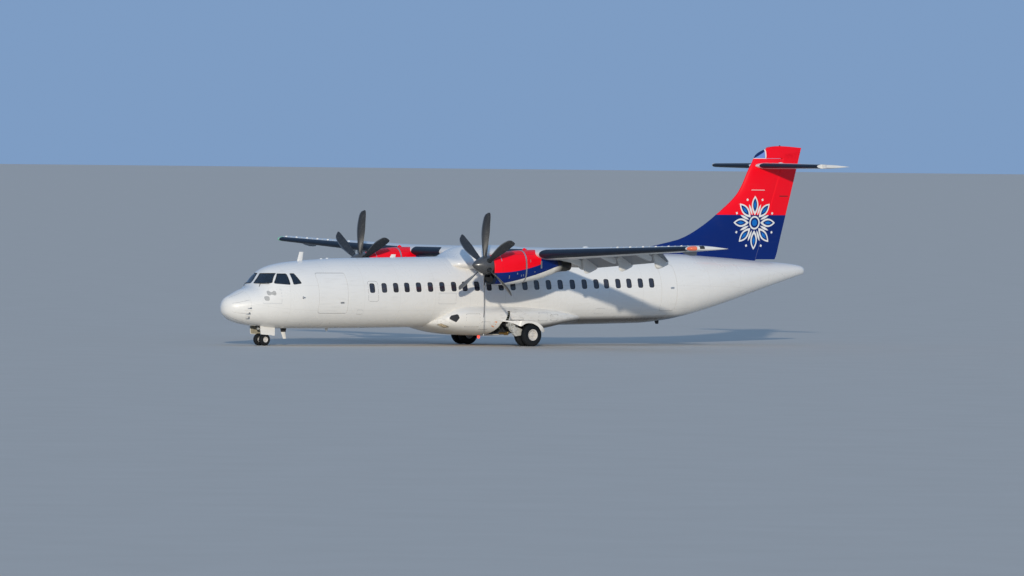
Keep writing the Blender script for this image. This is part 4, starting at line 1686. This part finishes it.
def turned_bar(start, end, profile, count=28):
    """A round part turned along a line: its profile holds shares of the length and radii."""
    start, end = Vector(start), Vector(end)
    along = (end - start).normalized()
    first = along.orthogonal().normalized()
    second = along.cross(first)
    run = end - start
    return loft([[tuple(start + run * share + (first * math.cos(a) + second * math.sin(a)) * radius)
                  for a in full_turn(count)] for share, radius in profile])


def stepped(steps, ease=0.004):
    """A profile of plain lands, given by each one's start, end and radius, with eased edges."""
    profile = []
    for start, end, radius in steps:
        profile += [(start, radius - ease), (start + ease, radius), (end - ease, radius),
                    (end, radius - ease)]
    return profile


def cross_bolt(side, centre, reach, radius):
    """A bolt across the aircraft, with its head and nut outside the lugs."""
    x, y, z = centre
    inner, outer = y - reach, y + reach
    return [bar((x, side * inner, z), (x, side * outer, z), radius, count=16),
            bar((x, side * outer, z), (x, side * (outer + 0.6 * radius), z), 1.7 * radius, count=6),
            bar((x, side * (inner - 0.5 * radius), z), (x, side * inner, z), 1.6 * radius, count=6)]


for name, side in SIDES:
    knee, head = Vector(at(side, KNEE)), Vector(at(side, LEG_HEAD))
    leg = [turned_bar(head, knee, stepped([(0.0, 0.10, 0.112), (0.10, 0.46, 0.092), (0.46, 0.52, 0.104),
                                           (0.52, 0.86, 0.086), (0.86, 1.0, 0.100)])),
           lathe([(0.0, -0.075), (0.092, -0.075), (0.108, -0.060), (0.108, 0.060), (0.092, 0.075),
                  (0.0, 0.075)], knee, 1, 40)]
    for lift, drop in ((0.10, 0.02), (-0.10, -0.02)):
        leg.append(loft([[tuple(spot + Vector((a, 0, b)))
                          for a, b in ((-0.012, 0.0), (0.012, 0.0), (0.012, lift), (-0.012, lift))]
                         for spot in (head + (knee - head) * 0.62 + Vector((0, 0, drop)),
                                      head + (knee - head) * 0.84)]))
    shock_head, shock_foot = Vector(at(side, SHOCK_HEAD)), Vector(at(side, SHOCK_FOOT))
    leg.append(turned_bar(at(side, (11.905, 1.48, 0.885)), shock_head,
                          [(0, 0.070), (0.8, 0.050), (1.0, 0.046)]))
    leg += cross_bolt(side, SHOCK_HEAD, 0.055, 0.020)
    leg += cross_bolt(side, KNEE, 0.083, 0.034)
    shackle = rounded([(11.68, 0.885), (11.79, 0.885), (11.93, 0.800), (11.93, 0.560), (11.84, 0.515),
                       (11.74, 0.640)], 0.03)
    eyes = [bar((x, side * 1.9, z), (x, side * 2.2, z), size, count=20)
            for x, z, size in ((11.765, 0.800, 0.030), (11.845, 0.680, 0.038),
                               (11.870, 0.585, 0.022))]
    leg += [carve(prism(shackle, 1, side * (KNEE[1] + y0), side * (KNEE[1] + y1)), eyes)
            for y0, y1 in ((-0.072, -0.034), (0.034, 0.072))]
    for x, z in ((11.72, 0.845), (11.90, 0.810), (11.78, 0.600)):
        leg += cross_bolt(side, (x, KNEE[1], z), 0.072, 0.012)
    make_piece(f"main_leg_{name}_forging", leg, gear_paint, stands_for=[f"main_leg_{name}"],
               bevel=0.004)
    gaiter = [(0.0, 0.10, 0.122), (0.10, 0.22, 0.114), (0.22, 0.34, 0.122), (0.34, 0.46, 0.114),
              (0.46, 0.60, 0.120)]
    make_piece(f"main_leg_{name}_gaiter", [turned_bar(head, knee, stepped(gaiter))], dark_lining)
    # station, half height, half width and height of the middle along the arm
    sections = [(11.99, 0.085, 0.040, 0.625), (12.06, 0.112, 0.058, 0.600), (12.20, 0.115, 0.062, 0.555),
                (12.36, 0.088, 0.060, 0.500), (12.47, 0.080, 0.064, 0.460), (12.56, 0.082, 0.070, 0.434)]
    arm = loft([[(x, side * KNEE[1] + a, z + b) for a, b in rounded([(-w, -h), (w, -h), (w, h), (-w, h)],
                                                                    0.025, 4)]
                for x, h, w, z in sections])
    recess = [prism(rounded([(12.09, 0.545), (12.14, 0.655), (12.40, 0.545), (12.42, 0.450)], 0.03), 1,
                    side * (KNEE[1] + face * 0.045), side * (KNEE[1] + face * 0.09)) for face in (-1, 1)]
    hub = lathe([(0.047, -0.078), (0.088, -0.078), (0.096, -0.068), (0.096, 0.068), (0.088, 0.078),
                 (0.047, 0.078)],
                at(side, MAIN_AXLE), 1, 40)
    heel = rounded([(12.03, 0.540), (12.24, 0.470), (12.19, 0.400), (11.97, 0.378), (11.85, 0.480),
                    (11.90, 0.540)], 0.025)
    lugs = [prism(heel, 1, side * (KNEE[1] - 0.055), side * (KNEE[1] + 0.055)),
            bar((12.175, side * (KNEE[1] - 0.055), 0.58), (12.175, side * (KNEE[1] + 0.055), 0.58), 0.055,
                count=24)]
    ring = lathe([(0.030 + 0.008 * math.cos(a), 0.008 * math.sin(a)) for a in full_turn(10)],
                 at(side, (12.30, 2.05, 0.40)), 1, 24)
    make_piece(f"trailing_arm_{name}_forging",
               [carve(arm, recess), hub, *lugs, ring, *cross_bolt(side, SHOCK_FOOT, 0.062, 0.018)],
               gear_paint, stands_for=[f"trailing_arm_{name}"], bevel=0.003)
    fall = shock_foot - shock_head
    barrel = turned_bar(shock_head, shock_foot,
                        stepped([(0.0, 0.16, 0.050), (0.16, 0.54, 0.058), (0.54, 0.62, 0.066)]))
    eye = lathe([(0.0, -0.04), (0.046, -0.04), (0.052, 0.0), (0.046, 0.04), (0.0, 0.04)], shock_foot, 1, 28)
    valve = bar(shock_head + fall * 0.2 + Vector((-0.05, 0, 0.01)),
                shock_head + fall * 0.2 + Vector((-0.085, 0, 0.02)), 0.010)
    make_piece(f"shock_absorber_{name}_barrel", [barrel, eye, valve], gear_paint,
               stands_for=[f"shock_absorber_{name}"], bevel=0.002)
    rods = [turned_bar(shock_head, shock_foot, [(0.60, 0.036), (0.98, 0.036)])]
    rods += [bar(at(side, (11.96, 1.60, 0.500)), at(side, (11.91, 1.97, 0.580)), 0.017)]
    make_piece(f"gear_chrome_{name}", rods, chrome)
    actuator = [turned_bar(at(side, (11.93, 1.10, 0.470)), at(side, (11.97, 1.62, 0.500)),
                           stepped([(0.0, 0.10, 0.030), (0.10, 0.92, 0.045), (0.92, 1.0, 0.052)])),
                turned_bar(at(side, (11.95, 1.38, 0.430)), at(side, (11.97, 1.60, 0.440)),
                           stepped([(0.0, 1.0, 0.028)])),
                bar(at(side, (11.89, 1.94, 0.60)), at(side, (11.89, 2.0, 0.60)), 0.030)]
    make_piece(f"gear_actuator_{name}", actuator, cadmium, bevel=0.002)
    hoses = []
    for face in (-1, 1):
        y = KNEE[1] + face * 0.07
        path = ((11.90, 1.60, 0.93), (11.96, 1.80, 0.86), (12.0, y, 0.74), (12.10, y, 0.715),
                (12.24, y, 0.665), (12.38, y, 0.590), (12.47, y, 0.555), (12.53, y, 0.52))
        hoses.append(pipe([at(side, p) for p in path], 0.009))
    path = ((11.86, 1.30, 0.86), (11.80, 1.45, 0.72), (11.78, 1.55, 0.60), (11.80, 1.60, 0.52))
    hoses.append(pipe([at(side, p) for p in path], 0.010))
    make_piece(f"gear_hoses_{name}", hoses, rubber)


# Gear door: an arched mudguard over the wheels, fixed to the fairing, with a deep lip on its outer edge
# station and height of the lip's upper edge, station and height of its lower edge, distance outward
LIP = [(11.50, 0.965, 11.50, 0.932, 1.790), (11.62, 0.962, 11.60, 0.925, 1.920),
       (11.75, 0.962, 11.72, 0.890, 2.100), (11.88, 0.966, 11.83, 0.838, 2.270),
       (11.97, 0.972, 11.91, 0.785, 2.380), (12.05, 0.980, 11.98, 0.760, 2.430),
       (12.14, 0.984, 12.07, 0.802, 2.445), (12.28, 0.984, 12.18, 0.858, 2.450),
       (12.42, 0.974, 12.32, 0.882, 2.450), (12.58, 0.955, 12.48, 0.868, 2.450),
       (12.74, 0.910, 12.64, 0.815, 2.450), (12.88, 0.828, 12.79, 0.730, 2.450),
       (13.00, 0.715, 12.89, 0.600, 2.450), (13.075, 0.600, 12.985, 0.522, 2.450)]
lip_at = smooth_table([(float(k), *row) for k, row in enumerate(LIP)])
GUARD_INNER, GUARD_WALL = 1.690, 0.014
for name, side in SIDES:
    guard, lip = [], []
    for k in spread(0.0, len(LIP) - 1.0, 0.25):
        x_top, z_top, x_low, z_low, y = lip_at(k)
        lip.append([(x_top, side * (y - 0.012), z_top), (x_top, side * y, z_top - 0.010),
                    (x_low, side * y, z_low), (x_low, side * (y - 0.012), z_low)])
        inner = min(GUARD_INNER, y - 0.1)
        guard.append([(x_top, side * y, z_top - 0.010), (x_top, side * (y - 0.012), z_top),
                      (x_top, side * inner, z_top), (x_top - 0.004, side * inner, z_top - GUARD_WALL),
                      (x_top - 0.004, side * (y - 0.002), z_top - GUARD_WALL)])
    stay = bar(at(side, (12.35, 1.02, 1.06)), at(side, (12.35, 1.72, 0.985)), 0.026)
    foot = side_block(side, (12.29, 12.41), (1.66, 1.80), (0.952, 0.972))
    make_piece(f"gear_door_{name}_guard", [loft(guard), loft(lip), stay, foot], belly_paint,
               stands_for=[f"gear_door_{name}"], crease=50)


# Wheels: forged alloy rims with tie bolts round the web, on a steel axle, and brake packs inside them
wheel_paint = painted("wheel enamel", (0.60, 0.575, 0.545, 1.0), roughness=0.4, dirt=0.9,
                      grime=(0.10, 0.085, 0.07, 1.0), streak=0.8, coat=0.15)
brake_metal = mottled("brake pack", 0.6, 0.6, 30.0, 4.0, grey(0.05), (0.16, 0.13, 0.10, 1.0))


def rim(centre, face, radius, width, bolts):
    """A wheel rim about a point of its axle; face is the outward direction along +Y."""
    r, w = radius / 0.205, width / 0.254
    outer = [(0.0, 0.080), (0.046, 0.080), (0.056, 0.070), (0.060, 0.046), (0.100, 0.033), (0.148, 0.036),
             (0.168, 0.056), (0.178, 0.102), (0.196, 0.113), (0.214, 0.1155), (0.2165, 0.1105),
             (0.2045, 0.106)]
    inner = [(0.2045, -0.106), (0.2165, -0.1105), (0.214, -0.1155), (0.196, -0.113), (0.186, -0.098),
             (0.184, 0.020), (0.150, 0.010), (0.060, 0.008), (0.0, 0.008)]
    wheel = lathe([(a * r, face * b * w) for a, b in outer + inner], centre, 1, 56)
    x, y, z = centre
    holes, studs = [], []
    for k in range(bolts):
        a = 2 * math.pi * k / bolts
        spot = (x + 0.112 * r * math.cos(a), z + 0.112 * r * math.sin(a))
        studs.append(bar((spot[0], y + face * 0.030 * w, spot[1]), (spot[0], y + face * 0.048 * w, spot[1]),
                         0.0105 * r, count=6))
        a += math.pi / bolts
        spot = (x + 0.132 * r * math.cos(a), z + 0.132 * r * math.sin(a))
        holes.append(bar((spot[0], y, spot[1]), (spot[0], y + face * 0.06 * w, spot[1]), 0.014 * r,
                         count=12))
    return [carve(wheel, holes), *studs]


def tyre(centre, radius, bead, width, grooves):
    """A tyre about a point of its axle, with grooves round its tread."""
    half = width / 2
    side_line = [(0.0, 0.84), (0.09, 0.925), (0.25, 0.99), (0.42, 1.0), (0.60, 0.965), (0.75, 0.88),
                 (0.86, 0.765), (0.94, 0.625), (0.982, 0.50)]
    shoulder = [(bead + share * (radius - bead), across * half) for share, across in side_line]
    tread = []
    for place in sorted(grooves, reverse=True):
        crown = radius - 0.006 * (place / half) ** 2
        tread += [(crown, place + 0.0045), (crown - 0.009, place + 0.003), (crown - 0.009, place - 0.003),
                  (crown, place - 0.0045)]
    profile = shoulder + tread + [(r, -a) for r, a in reversed(shoulder)]
    return lathe(profile, centre, 1, 96)


tyre_rubber, tree, shader = new_material("tyre rubber", 0.8, Specular_IOR_Level=0.25)
place = object_place(tree)
dust = add_node(tree, "ShaderNodeTexNoise", {"Vector": place, "Scale": 7.0, "Detail": 6.0})
low_down = add_node(tree, "ShaderNodeSeparateXYZ", {0: place}).outputs[2]
scuff = math_node(tree, "MULTIPLY", dust.outputs[0], math_node(
    tree, "SUBTRACT", 1.0, math_node(tree, "DIVIDE", low_down, 0.5), clamp=True))
tree.links.new(mix_colours(tree, scuff, (0.003, 0.006, 0.010, 1.0), (0.022, 0.022, 0.022, 1.0)),
               shader.inputs["Base Color"])
vary_roughness(tree, shader, dust.outputs[0], 0.6, 0.9)
grain = add_node(tree, "ShaderNodeTexNoise", {"Vector": place, "Scale": 160.0, "Detail": 2.0})
bump = add_node(tree, "ShaderNodeBump", {"Height": grain.outputs[0], "Strength": 0.25, "Distance": 0.002})
tree.links.new(bump.outputs[0], shader.inputs["Normal"])

MAIN_GROOVES, NOSE_GROOVES = (-0.050, -0.017, 0.017, 0.050), (-0.028, 0.0, 0.028)
# radius and distance from the leg of each corner of a brake pack
BRAKE_PACK = [(0.055, 0.085), (0.150, 0.085), (0.150, 0.100), (0.166, 0.100), (0.166, 0.205), (0.055, 0.205)]
BRAKE_CYLINDERS = 5
for name, side in SIDES:
    x, y, z = at(side, MAIN_AXLE)
    body = f"main_wheels_{name}"
    wheels = [bar((x, y - MAIN_SPACING / 2 - 0.03, z), (x, y + MAIN_SPACING / 2 + 0.03, z), 0.044, count=24)]
    brakes = []
    for face in (-1, 1):
        centre = (x, y + face * MAIN_SPACING / 2, z)
        wheels += rim(centre, face, 0.205, 0.254, 9)
        brakes.append(lathe([(radius, face * reach) for radius, reach in BRAKE_PACK], (x, y, z), 1, 48))
        for k in range(BRAKE_CYLINDERS):
            a = 2 * math.pi * (k + 0.2) / BRAKE_CYLINDERS
            spot = (x + 0.115 * math.cos(a), z + 0.115 * math.sin(a))
            brakes.append(bar((spot[0], y + face * 0.079, spot[1]), (spot[0], y + face * 0.1, spot[1]),
                              0.024, count=16))
        place = "outer" if face == side else "inner"
        make_piece(f"main_tyre_{place}_{name}_tread", [tyre(centre, 0.432, 0.2047, 0.254, MAIN_GROOVES)],
                   tyre_rubber, body, [f"main_tyre_{place}_{name}"])
    make_piece(f"{body}_rims", wheels, wheel_paint, body, [body])
    make_piece(f"brakes_{name}", brakes, brake_metal)


# Nose gear: an oleo strut in the nose bay with a drag brace and steering jacks. Its fork carries two wheels
# on one axle and a towing lug, and a door hangs on each side of the bay.
NOSE_AXLE, NOSE_SPACING = (1.800, 0.0, 0.225), 0.370
STRUT_FOOT, BAY_ROOF, DOOR_Y = 0.640, 1.250, 0.343
x, _, z = NOSE_AXLE
strut = [turned_bar((x, 0, BAY_ROOF), (x, 0, STRUT_FOOT),
                    stepped([(0.0, 0.12, 0.082), (0.12, 0.70, 0.070), (0.70, 0.80, 0.092),
                             (0.80, 0.92, 0.070), (0.92, 1.0, 0.084)])),
         turned_bar((x, -0.329, 1.12), (x, 0.329, 1.12),
                    stepped([(0.0, 0.08, 0.060), (0.08, 0.92, 0.045), (0.92, 1.0, 0.060)])),
         turned_bar((x + 0.40, 0, 1.20), (x + 0.03, 0, 0.82),
                    stepped([(0.0, 0.12, 0.048), (0.12, 0.48, 0.034), (0.48, 0.56, 0.046),
                             (0.56, 0.94, 0.034), (0.94, 1.0, 0.046)]))]
for side in (-1, 1):
    strut.append(turned_bar((x - 0.02, side * 0.085, 0.80), (x - 0.02, side * 0.215, 0.80),
                            stepped([(0.0, 0.2, 0.030), (0.2, 1.0, 0.040)])))
    strut.append(bar((x - 0.08, side * 0.04, 0.745), (x + 0.03, side * 0.10, 0.80), 0.014))
strut.append(prism(rounded([(x + 0.05, 0.655), (x + 0.15, 0.60), (x + 0.16, 0.64), (x + 0.06, 0.72)], 0.008),
                   1, -0.045, 0.045))
make_piece("nose_strut_oleo", strut, gear_paint, stands_for=["nose_strut"], bevel=0.003)
fork = [turned_bar((x, 0, STRUT_FOOT), (x, 0, 0.56), stepped([(0.0, 1.0, 0.078)])),
        lathe([(0.027, -0.075), (0.056, -0.075), (0.064, -0.062), (0.064, 0.062), (0.056, 0.075),
               (0.027, 0.075)], NOSE_AXLE, 1, 32),
        turned_bar((x, 0, 0.36), (x, 0, 0.24), [(0.0, 0.056), (0.3, 0.062), (1.0, 0.062)]),
        loft([[(x - reach, a, z + b) for a, b in rounded([(-w, -h), (w, -h), (w, h), (-w, h)], 0.008, 3)]
              for reach, w, h in ((0.02, 0.035, 0.036), (0.10, 0.028, 0.033), (0.15, 0.018, 0.026))]),
        prism(rounded([(x + 0.05, 0.40), (x + 0.17, 0.53), (x + 0.17, 0.57), (x + 0.04, 0.46)], 0.010), 1,
              -0.040, 0.040),
        bar((x + 0.155, -0.055, 0.585), (x + 0.155, 0.055, 0.585), 0.014),
        prism(rounded([(x + 0.02, 0.27), (x + 0.07, 0.28), (x + 0.12, 0.50), (x + 0.04, 0.42)], 0.010), 1,
              -0.030, 0.030)]
make_piece("nose_fork_block", fork, gear_paint, "nose_fork", ["nose_fork"], bevel=0.003)
make_piece("nose_fork_piston", [turned_bar((x, 0, 0.565), (x, 0, 0.33), [(0.0, 0.052), (1.0, 0.052)])],
           chrome, "nose_fork")
lamp = [turned_bar((x - 0.19, 0, 0.640), (x - 0.07, 0, 0.640),
                   [(0.0, 0.050), (0.15, 0.058), (0.45, 0.055), (0.9, 0.030), (1.0, 0.020)]),
        bar((x - 0.09, 0, 0.65), (x - 0.03, 0, 0.70), 0.014)]
make_piece("taxi_light_shell", lamp, gear_paint)
white_lamp = lit_glass("lit lamp glass", 0.1, 60.0, 1, (1.0, 0.97, 0.90, 1.0), (0.85, 0.88, 0.92, 1.0),
                       Emission_Strength=4.0)
lens = lathe([(0.0, -0.012), (0.020, -0.009), (0.031, 0.0), (0.031, 0.01), (0.0, 0.01)],
             (x - 0.17, 0, 0.640), 0, 32)
make_piece("taxi_light_lens", [lens], white_lamp)
wheels = [bar((x, -NOSE_SPACING / 2 - 0.02, z), (x, NOSE_SPACING / 2 + 0.02, z), 0.025, count=20)]
for name, side in SIDES:
    centre = (x, side * NOSE_SPACING / 2, z)
    wheels += rim(centre, side, 0.100, 0.165, 6)
    make_piece(f"nose_tyre_{name}_tread", [tyre(centre, 0.225, 0.1002, 0.165, NOSE_GROOVES)], tyre_rubber,
               "nose_wheels", [f"nose_tyre_{name}"])
make_piece("nose_wheels_rims", wheels, wheel_paint, "nose_wheels", ["nose_wheels"])
primer = painted("tan primer", (0.36, 0.33, 0.25, 1.0), roughness=0.55, dirt=0.4, coat=0.0)
DOOR_SHAPE = rounded([(1.485, 0.80), (2.150, 0.80), (2.150, 0.365), (1.98, 0.395), (1.520, 0.425)],
                     [0.01, 0.01, 0.035, 0.06, 0.04])
void = hull.length(1.2, 2.6, 0.1, grow=-0.004)
for name, side in SIDES:
    y0, y1 = side * (DOOR_Y - 0.009), side * (DOOR_Y + 0.009)
    leaf = carve(prism(DOOR_SHAPE, 1, y0, y1), [void])
    make_piece(f"nose_door_{name}_leaf", [leaf], door_paint,
               stands_for=[f"nose_door_{name}"], bevel=0.002)
    frame_parts = [carve(prism(scaled(DOOR_SHAPE, -0.02), 1, side * (DOOR_Y - 0.013),
                               side * (DOOR_Y - 0.008)), [void])]
    for px in (1.60, 1.82, 2.04):
        frame_parts.append(side_block(side, (px - 0.012, px + 0.012), (DOOR_Y - 0.030, DOOR_Y - 0.010),
                                      (0.46, 0.70)))
        frame_parts.append(bar((px, side * (DOOR_Y - 0.03), 0.62), (px, side * (DOOR_Y - 0.06), 0.80),
                               0.012))
    make_piece(f"nose_door_{name}_frame", frame_parts, primer, bevel=0.002)
(x0, y0, _), (x1, y1, z1) = NOSE_BAY
room = hull.length(1.0, 2.6, 0.1, grow=-0.012)
bay_walls = [block((x0 - 0.012, y0 - 0.012, z1), (x1 + 0.012, y1 + 0.012, z1 + 0.012)),
             block((x0 - 0.012, y0 - 0.012, 0.6), (x0, y1 + 0.012, z1)),
             block((x1, y0 - 0.012, 0.6), (x1 + 0.012, y1 + 0.012, z1)),
             block((x0, y0 - 0.012, 0.6), (x1, y0, z1)), block((x0, y1, 0.6), (x1, y1 + 0.012, z1))]
bay_walls = [carve(wall, [room], "INTERSECT") for wall in bay_walls]
for px in (1.5, 1.95, 2.15):
    bay_walls.append(block((px - 0.01, y0, z1 - 0.05), (px + 0.01, y1, z1)))
    for side in (-1, 1):
        bay_walls.append(side_block(side, (px - 0.01, px + 0.01), (0.30, 0.33), (0.72, z1)))
make_piece("nose_bay_lining", bay_walls, dark_lining)


# Small fittings on the hull: blade antennas and drain masts of laminate, heated alloy probes, wipers and
# the plates round the static ports. Each is screwed or bonded to the skin.
def swept_blade(foot, tip, half=0.022, middle=0.0):
    """A blade with a lens section; foot and tip give its front, its back and its height."""
    rings = []
    for share in (0.0, 0.5, 0.9, 1.0):
        front, back, z = [a + (b - a) * share for a, b in zip(foot, tip)]
        slim = half * (1.0 - 0.5 * share)
        line = [(front + (back - front) * u, slim * math.sin(math.pi * u) ** 0.7)
                for u in spread(0.0, 1.0, 0.1)]
        rings.append([(x, middle + y, z) for x, y in line] + [(x, middle - y, z) for x, y in line[-2:0:-1]])
    return loft(rings)


def dome(centre, radius, rise):
    """A low dome on a place, open to the skin below it."""
    turn = spread(0.0, math.pi / 2, 0.3)
    return lathe([(0.0, -0.03), (radius, -0.03),
                  *[(radius * math.cos(a), rise * math.sin(a)) for a in turn[:-1]], (0.0, rise)],
                 centre, 2, 24)


# front, back and height of the foot, then of the tip
WHITE_BLADES = [((3.36, 3.60, 3.140), (3.47, 3.65, 3.500)), ((2.67, 2.86, 0.505), (2.77, 2.91, 0.255)),
                ((4.64, 4.80, 0.670), (4.70, 4.79, 0.540)), ((7.60, 7.86, 3.290), (7.68, 7.88, 3.420)),
                ((17.40, 17.66, 3.440), (17.50, 17.68, 3.600))]
DARK_BLADES = [((20.02, 20.26, 0.960), (20.10, 20.24, 0.800)), ((2.63, 2.92, 0.660), (2.67, 2.88, 0.500))]
make_piece("blade_antennas", [swept_blade(*row) for row in WHITE_BLADES], laminate_paint)
make_piece("drain_masts", [swept_blade(*row, half=0.030) for row in DARK_BLADES], rubber)
domes = [dome((x, 0.0, max(point[2] for point in hull.ring(x)) - 0.004), 0.055, 0.034) for x in (4.46, 4.73)]
make_piece("crown_domes", domes, laminate_paint)

# station and height of each probe on the nose, and of each static port plate with its half sizes
PROBES = [(0.79, 1.41), (0.78, 1.07), (0.76, 1.22)]
PORT_PLATES = [(1.55, 1.97, 0.150, 0.085), (1.36, 1.77, 0.090, 0.085)]
PROBE_PANELS = [(1.20, 1.90, 1.58, 2.12), (8.88, 9.68, 1.58, 1.99), (5.20, 5.44, 1.18, 1.36),
                (16.3, 16.7, 1.20, 1.42)]
probes, ports, outlines, wipers = [], [], [], []
for _, side in SIDES:
    seen = hull.seen_from_side(side)
    for x, z in PROBES:
        spot = Vector(seen(x, z))
        out = hull.normal(spot)
        arm = spot + out * 0.075
        ahead = Vector((-1.0, side * -0.12, 0.0)).normalized()
        probes += [bar(spot - out * 0.004, spot + out * 0.004, 0.032, count=20),
                   bar(spot, arm, 0.013, 0.010), bar(arm + ahead * -0.02, arm + ahead * 0.15, 0.012, 0.006)]
    spot = Vector(seen(2.75, 1.81))
    out = hull.normal(spot)
    probes += [bar(spot - out * 0.004, spot + out * 0.005, 0.045, count=24),
               loft([[tuple(spot + out * reach + Vector((dx, 0, dz)))
                      for dx, dz in ((-0.03, 0.012), (0.06, 0.016), (0.06, -0.004), (-0.03, -0.006))]
                     for reach in (0.0, 0.085)])]
    for x, z, half, tall in PORT_PLATES:
        ports.append(hull.plate(rounded(rectangle(x - half, x + half, z - tall, z + tall), 0.8 * tall), seen,
                                0.0012, -0.003, rings=3))
    for x0, x1, z0, z1 in PROBE_PANELS:
        outline = rounded(rectangle(x0, x1, z0, z1), 0.03)
        outlines.append(hull.plate(outline, seen, 0.0006, -0.003, scaled(outline, -0.008), 1))
    ahead = hull.seen_from_bow(side)
    sweep = [hull.lifted(ahead(y, 2.322 - 0.02 * y), 0.016) for y in spread(0.16, 0.80, 0.08)]
    wipers += [pipe(sweep, 0.009, 8),
               pipe([hull.lifted(ahead(0.50, 2.20), -0.01), hull.lifted(ahead(0.50, 2.24), 0.035),
                     hull.lifted(ahead(0.48, 2.312), 0.026)], 0.011, 8)]
make_piece("nose_probes", probes, bare_metal)
port_metal = painted("worn port plate", (0.40, 0.40, 0.39, 1.0), roughness=0.45, dirt=0.8, coat=0.0)
make_piece("static_port_plates", ports, port_metal)
make_piece("hull_access_seams", outlines, strap_metal)
make_piece("windscreen_wipers", wipers, rubber)


# Wing and tail fittings: coloured lamps and a strobe in each wing tip, vortex vanes glued on ahead of the
# ailerons, the ailerons' hinge fairings, and carbon wicks that bleed off static.
TIP_COLOURS = {"left": ("red lamp glass", (0.75, 0.16, 0.07, 1.0), (0.55, 0.12, 0.05, 1.0)),
               "right": ("green lamp glass", (0.02, 0.55, 0.22, 1.0), (0.01, 0.35, 0.15, 1.0))}
TIP_LAMPS = {place: lit_glass(name, 0.12, 40.0, 2, first, second, Coat_Weight=0.8, Emission_Strength=0.25)
             for place, (name, first, second) in TIP_COLOURS.items()}
VANE_PITCH, VANE_LONG, VANE_TALL = 0.38, 0.075, 0.030
wicks = []
for name, side in SIDES:
    lens = carve(tip_cap(side, 0.014), [side_block(side, (11.62, 11.95), (13.24, 13.60), (3.72, 3.96))],
                 "INTERSECT")
    make_piece(f"tip_lamp_{name}", [lens], TIP_LAMPS[name])
    strobe = carve(tip_cap(side, 0.012), [side_block(side, (12.06, 12.26), (13.40, 13.60), (3.83, 3.99))],
                   "INTERSECT")
    make_piece(f"tip_strobe_{name}", [strobe], rubber)
    vanes = []
    for k, y in enumerate(spread(8.50, 13.00, VANE_PITCH)):
        section = wing_section(y)
        x = section.lead + 0.14 * section.chord
        foot = foil_height(section, x, 1) - 0.004
        lean = 0.018 if k % 2 else -0.018
        vanes.append(loft([[(x - VANE_LONG / 2 + rake, side * (y - lean - 0.002), z),
                            (x - VANE_LONG / 2 + rake, side * (y - lean + 0.002), z),
                            (x + VANE_LONG / 2, side * (y + lean + 0.002), z),
                            (x + VANE_LONG / 2, side * (y + lean - 0.002), z)]
                           for rake, z in ((0.0, foot), (0.03, foot + VANE_TALL + 0.004))]))
    make_piece(f"vortex_vanes_{name}", vanes, wing_paint)
    y = 12.30
    section = wing_section(y)
    rows = [(-0.64, -0.02, 0.15), (-0.52, -0.075, 0.6), (-0.30, -0.135, 0.95), (-0.12, -0.155, 1.0),
            (0.0, -0.150, 0.8)]
    rings = []
    for dx, low, share in rows:
        x = 12.78 + dx
        top = foil_height(section, x, -1) + 0.02
        half = 0.05 * share
        rings.append([(x, side * y + half * math.cos(a),
                       top - (top - foil_height(section, x, -1) - low) * abs(math.sin(a)) ** 0.8)
                      for a in half_turn(10)])
    make_piece(f"aileron_hinge_fairing_{name}", [loft(rings)], flap_paint)
    for y in (13.22, 13.36):
        section = wing_section(y)
        wicks.append(bar((13.22, side * y, section.height - section.drop * 0.95),
                         (13.42, side * y, section.height - section.drop - 0.01), 0.005, 0.002, 8))
    tail_wicks = [bar((26.55, side * y, TAIL_HEIGHT), (26.72, side * y, TAIL_HEIGHT - 0.005), 0.005, 0.002,
                      8) for y in (2.4, 3.2)]
    make_piece(f"elevator_{name}_wicks", tail_wicks, rubber, f"elevator_{name}")
make_piece("wing_tip_wicks", wicks, rubber)
head = dome((25.98, 0.0, 7.660), 0.040, 0.035)
tab_rods = [bar((25.96, side * 0.075, 5.735), (26.38, side * 0.034, 5.735), 0.016, 0.012, 12)
            for side in (-1, 1)]
make_piece("rudder_fittings", [head, *tab_rods], rubber, "rudder")

# distance aft, half width and half height of the cap of a tank and of a bump at the tailplane's root
TANK_CAP = [(0.0, 0.01, 0.01), (0.03, 0.06, 0.035), (0.12, 0.08, 0.050), (0.22, 0.06, 0.035),
            (0.28, 0.01, 0.01)]
ROOT_BUMP = [(0.0, 0.005, 0.005), (0.03, 0.035, 0.04), (0.12, 0.05, 0.055), (0.24, 0.035, 0.035),
             (0.30, 0.005, 0.005)]
TANK_CAP_Y = 6.5
cap_height = foil_height(wing_section(TANK_CAP_Y), 11.95, 1)
caps = [oval_loft(TANK_CAP, (11.83, side * TANK_CAP_Y, cap_height), 16) for _, side in SIDES]
make_piece("wing_top_caps", caps, wing_paint)
root_bumps = [oval_loft(ROOT_BUMP, (25.45, side * 0.62, 6.985), 16) for _, side in SIDES]
make_piece("tailplane_root_bumps", root_bumps, wing_paint)


low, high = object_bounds()
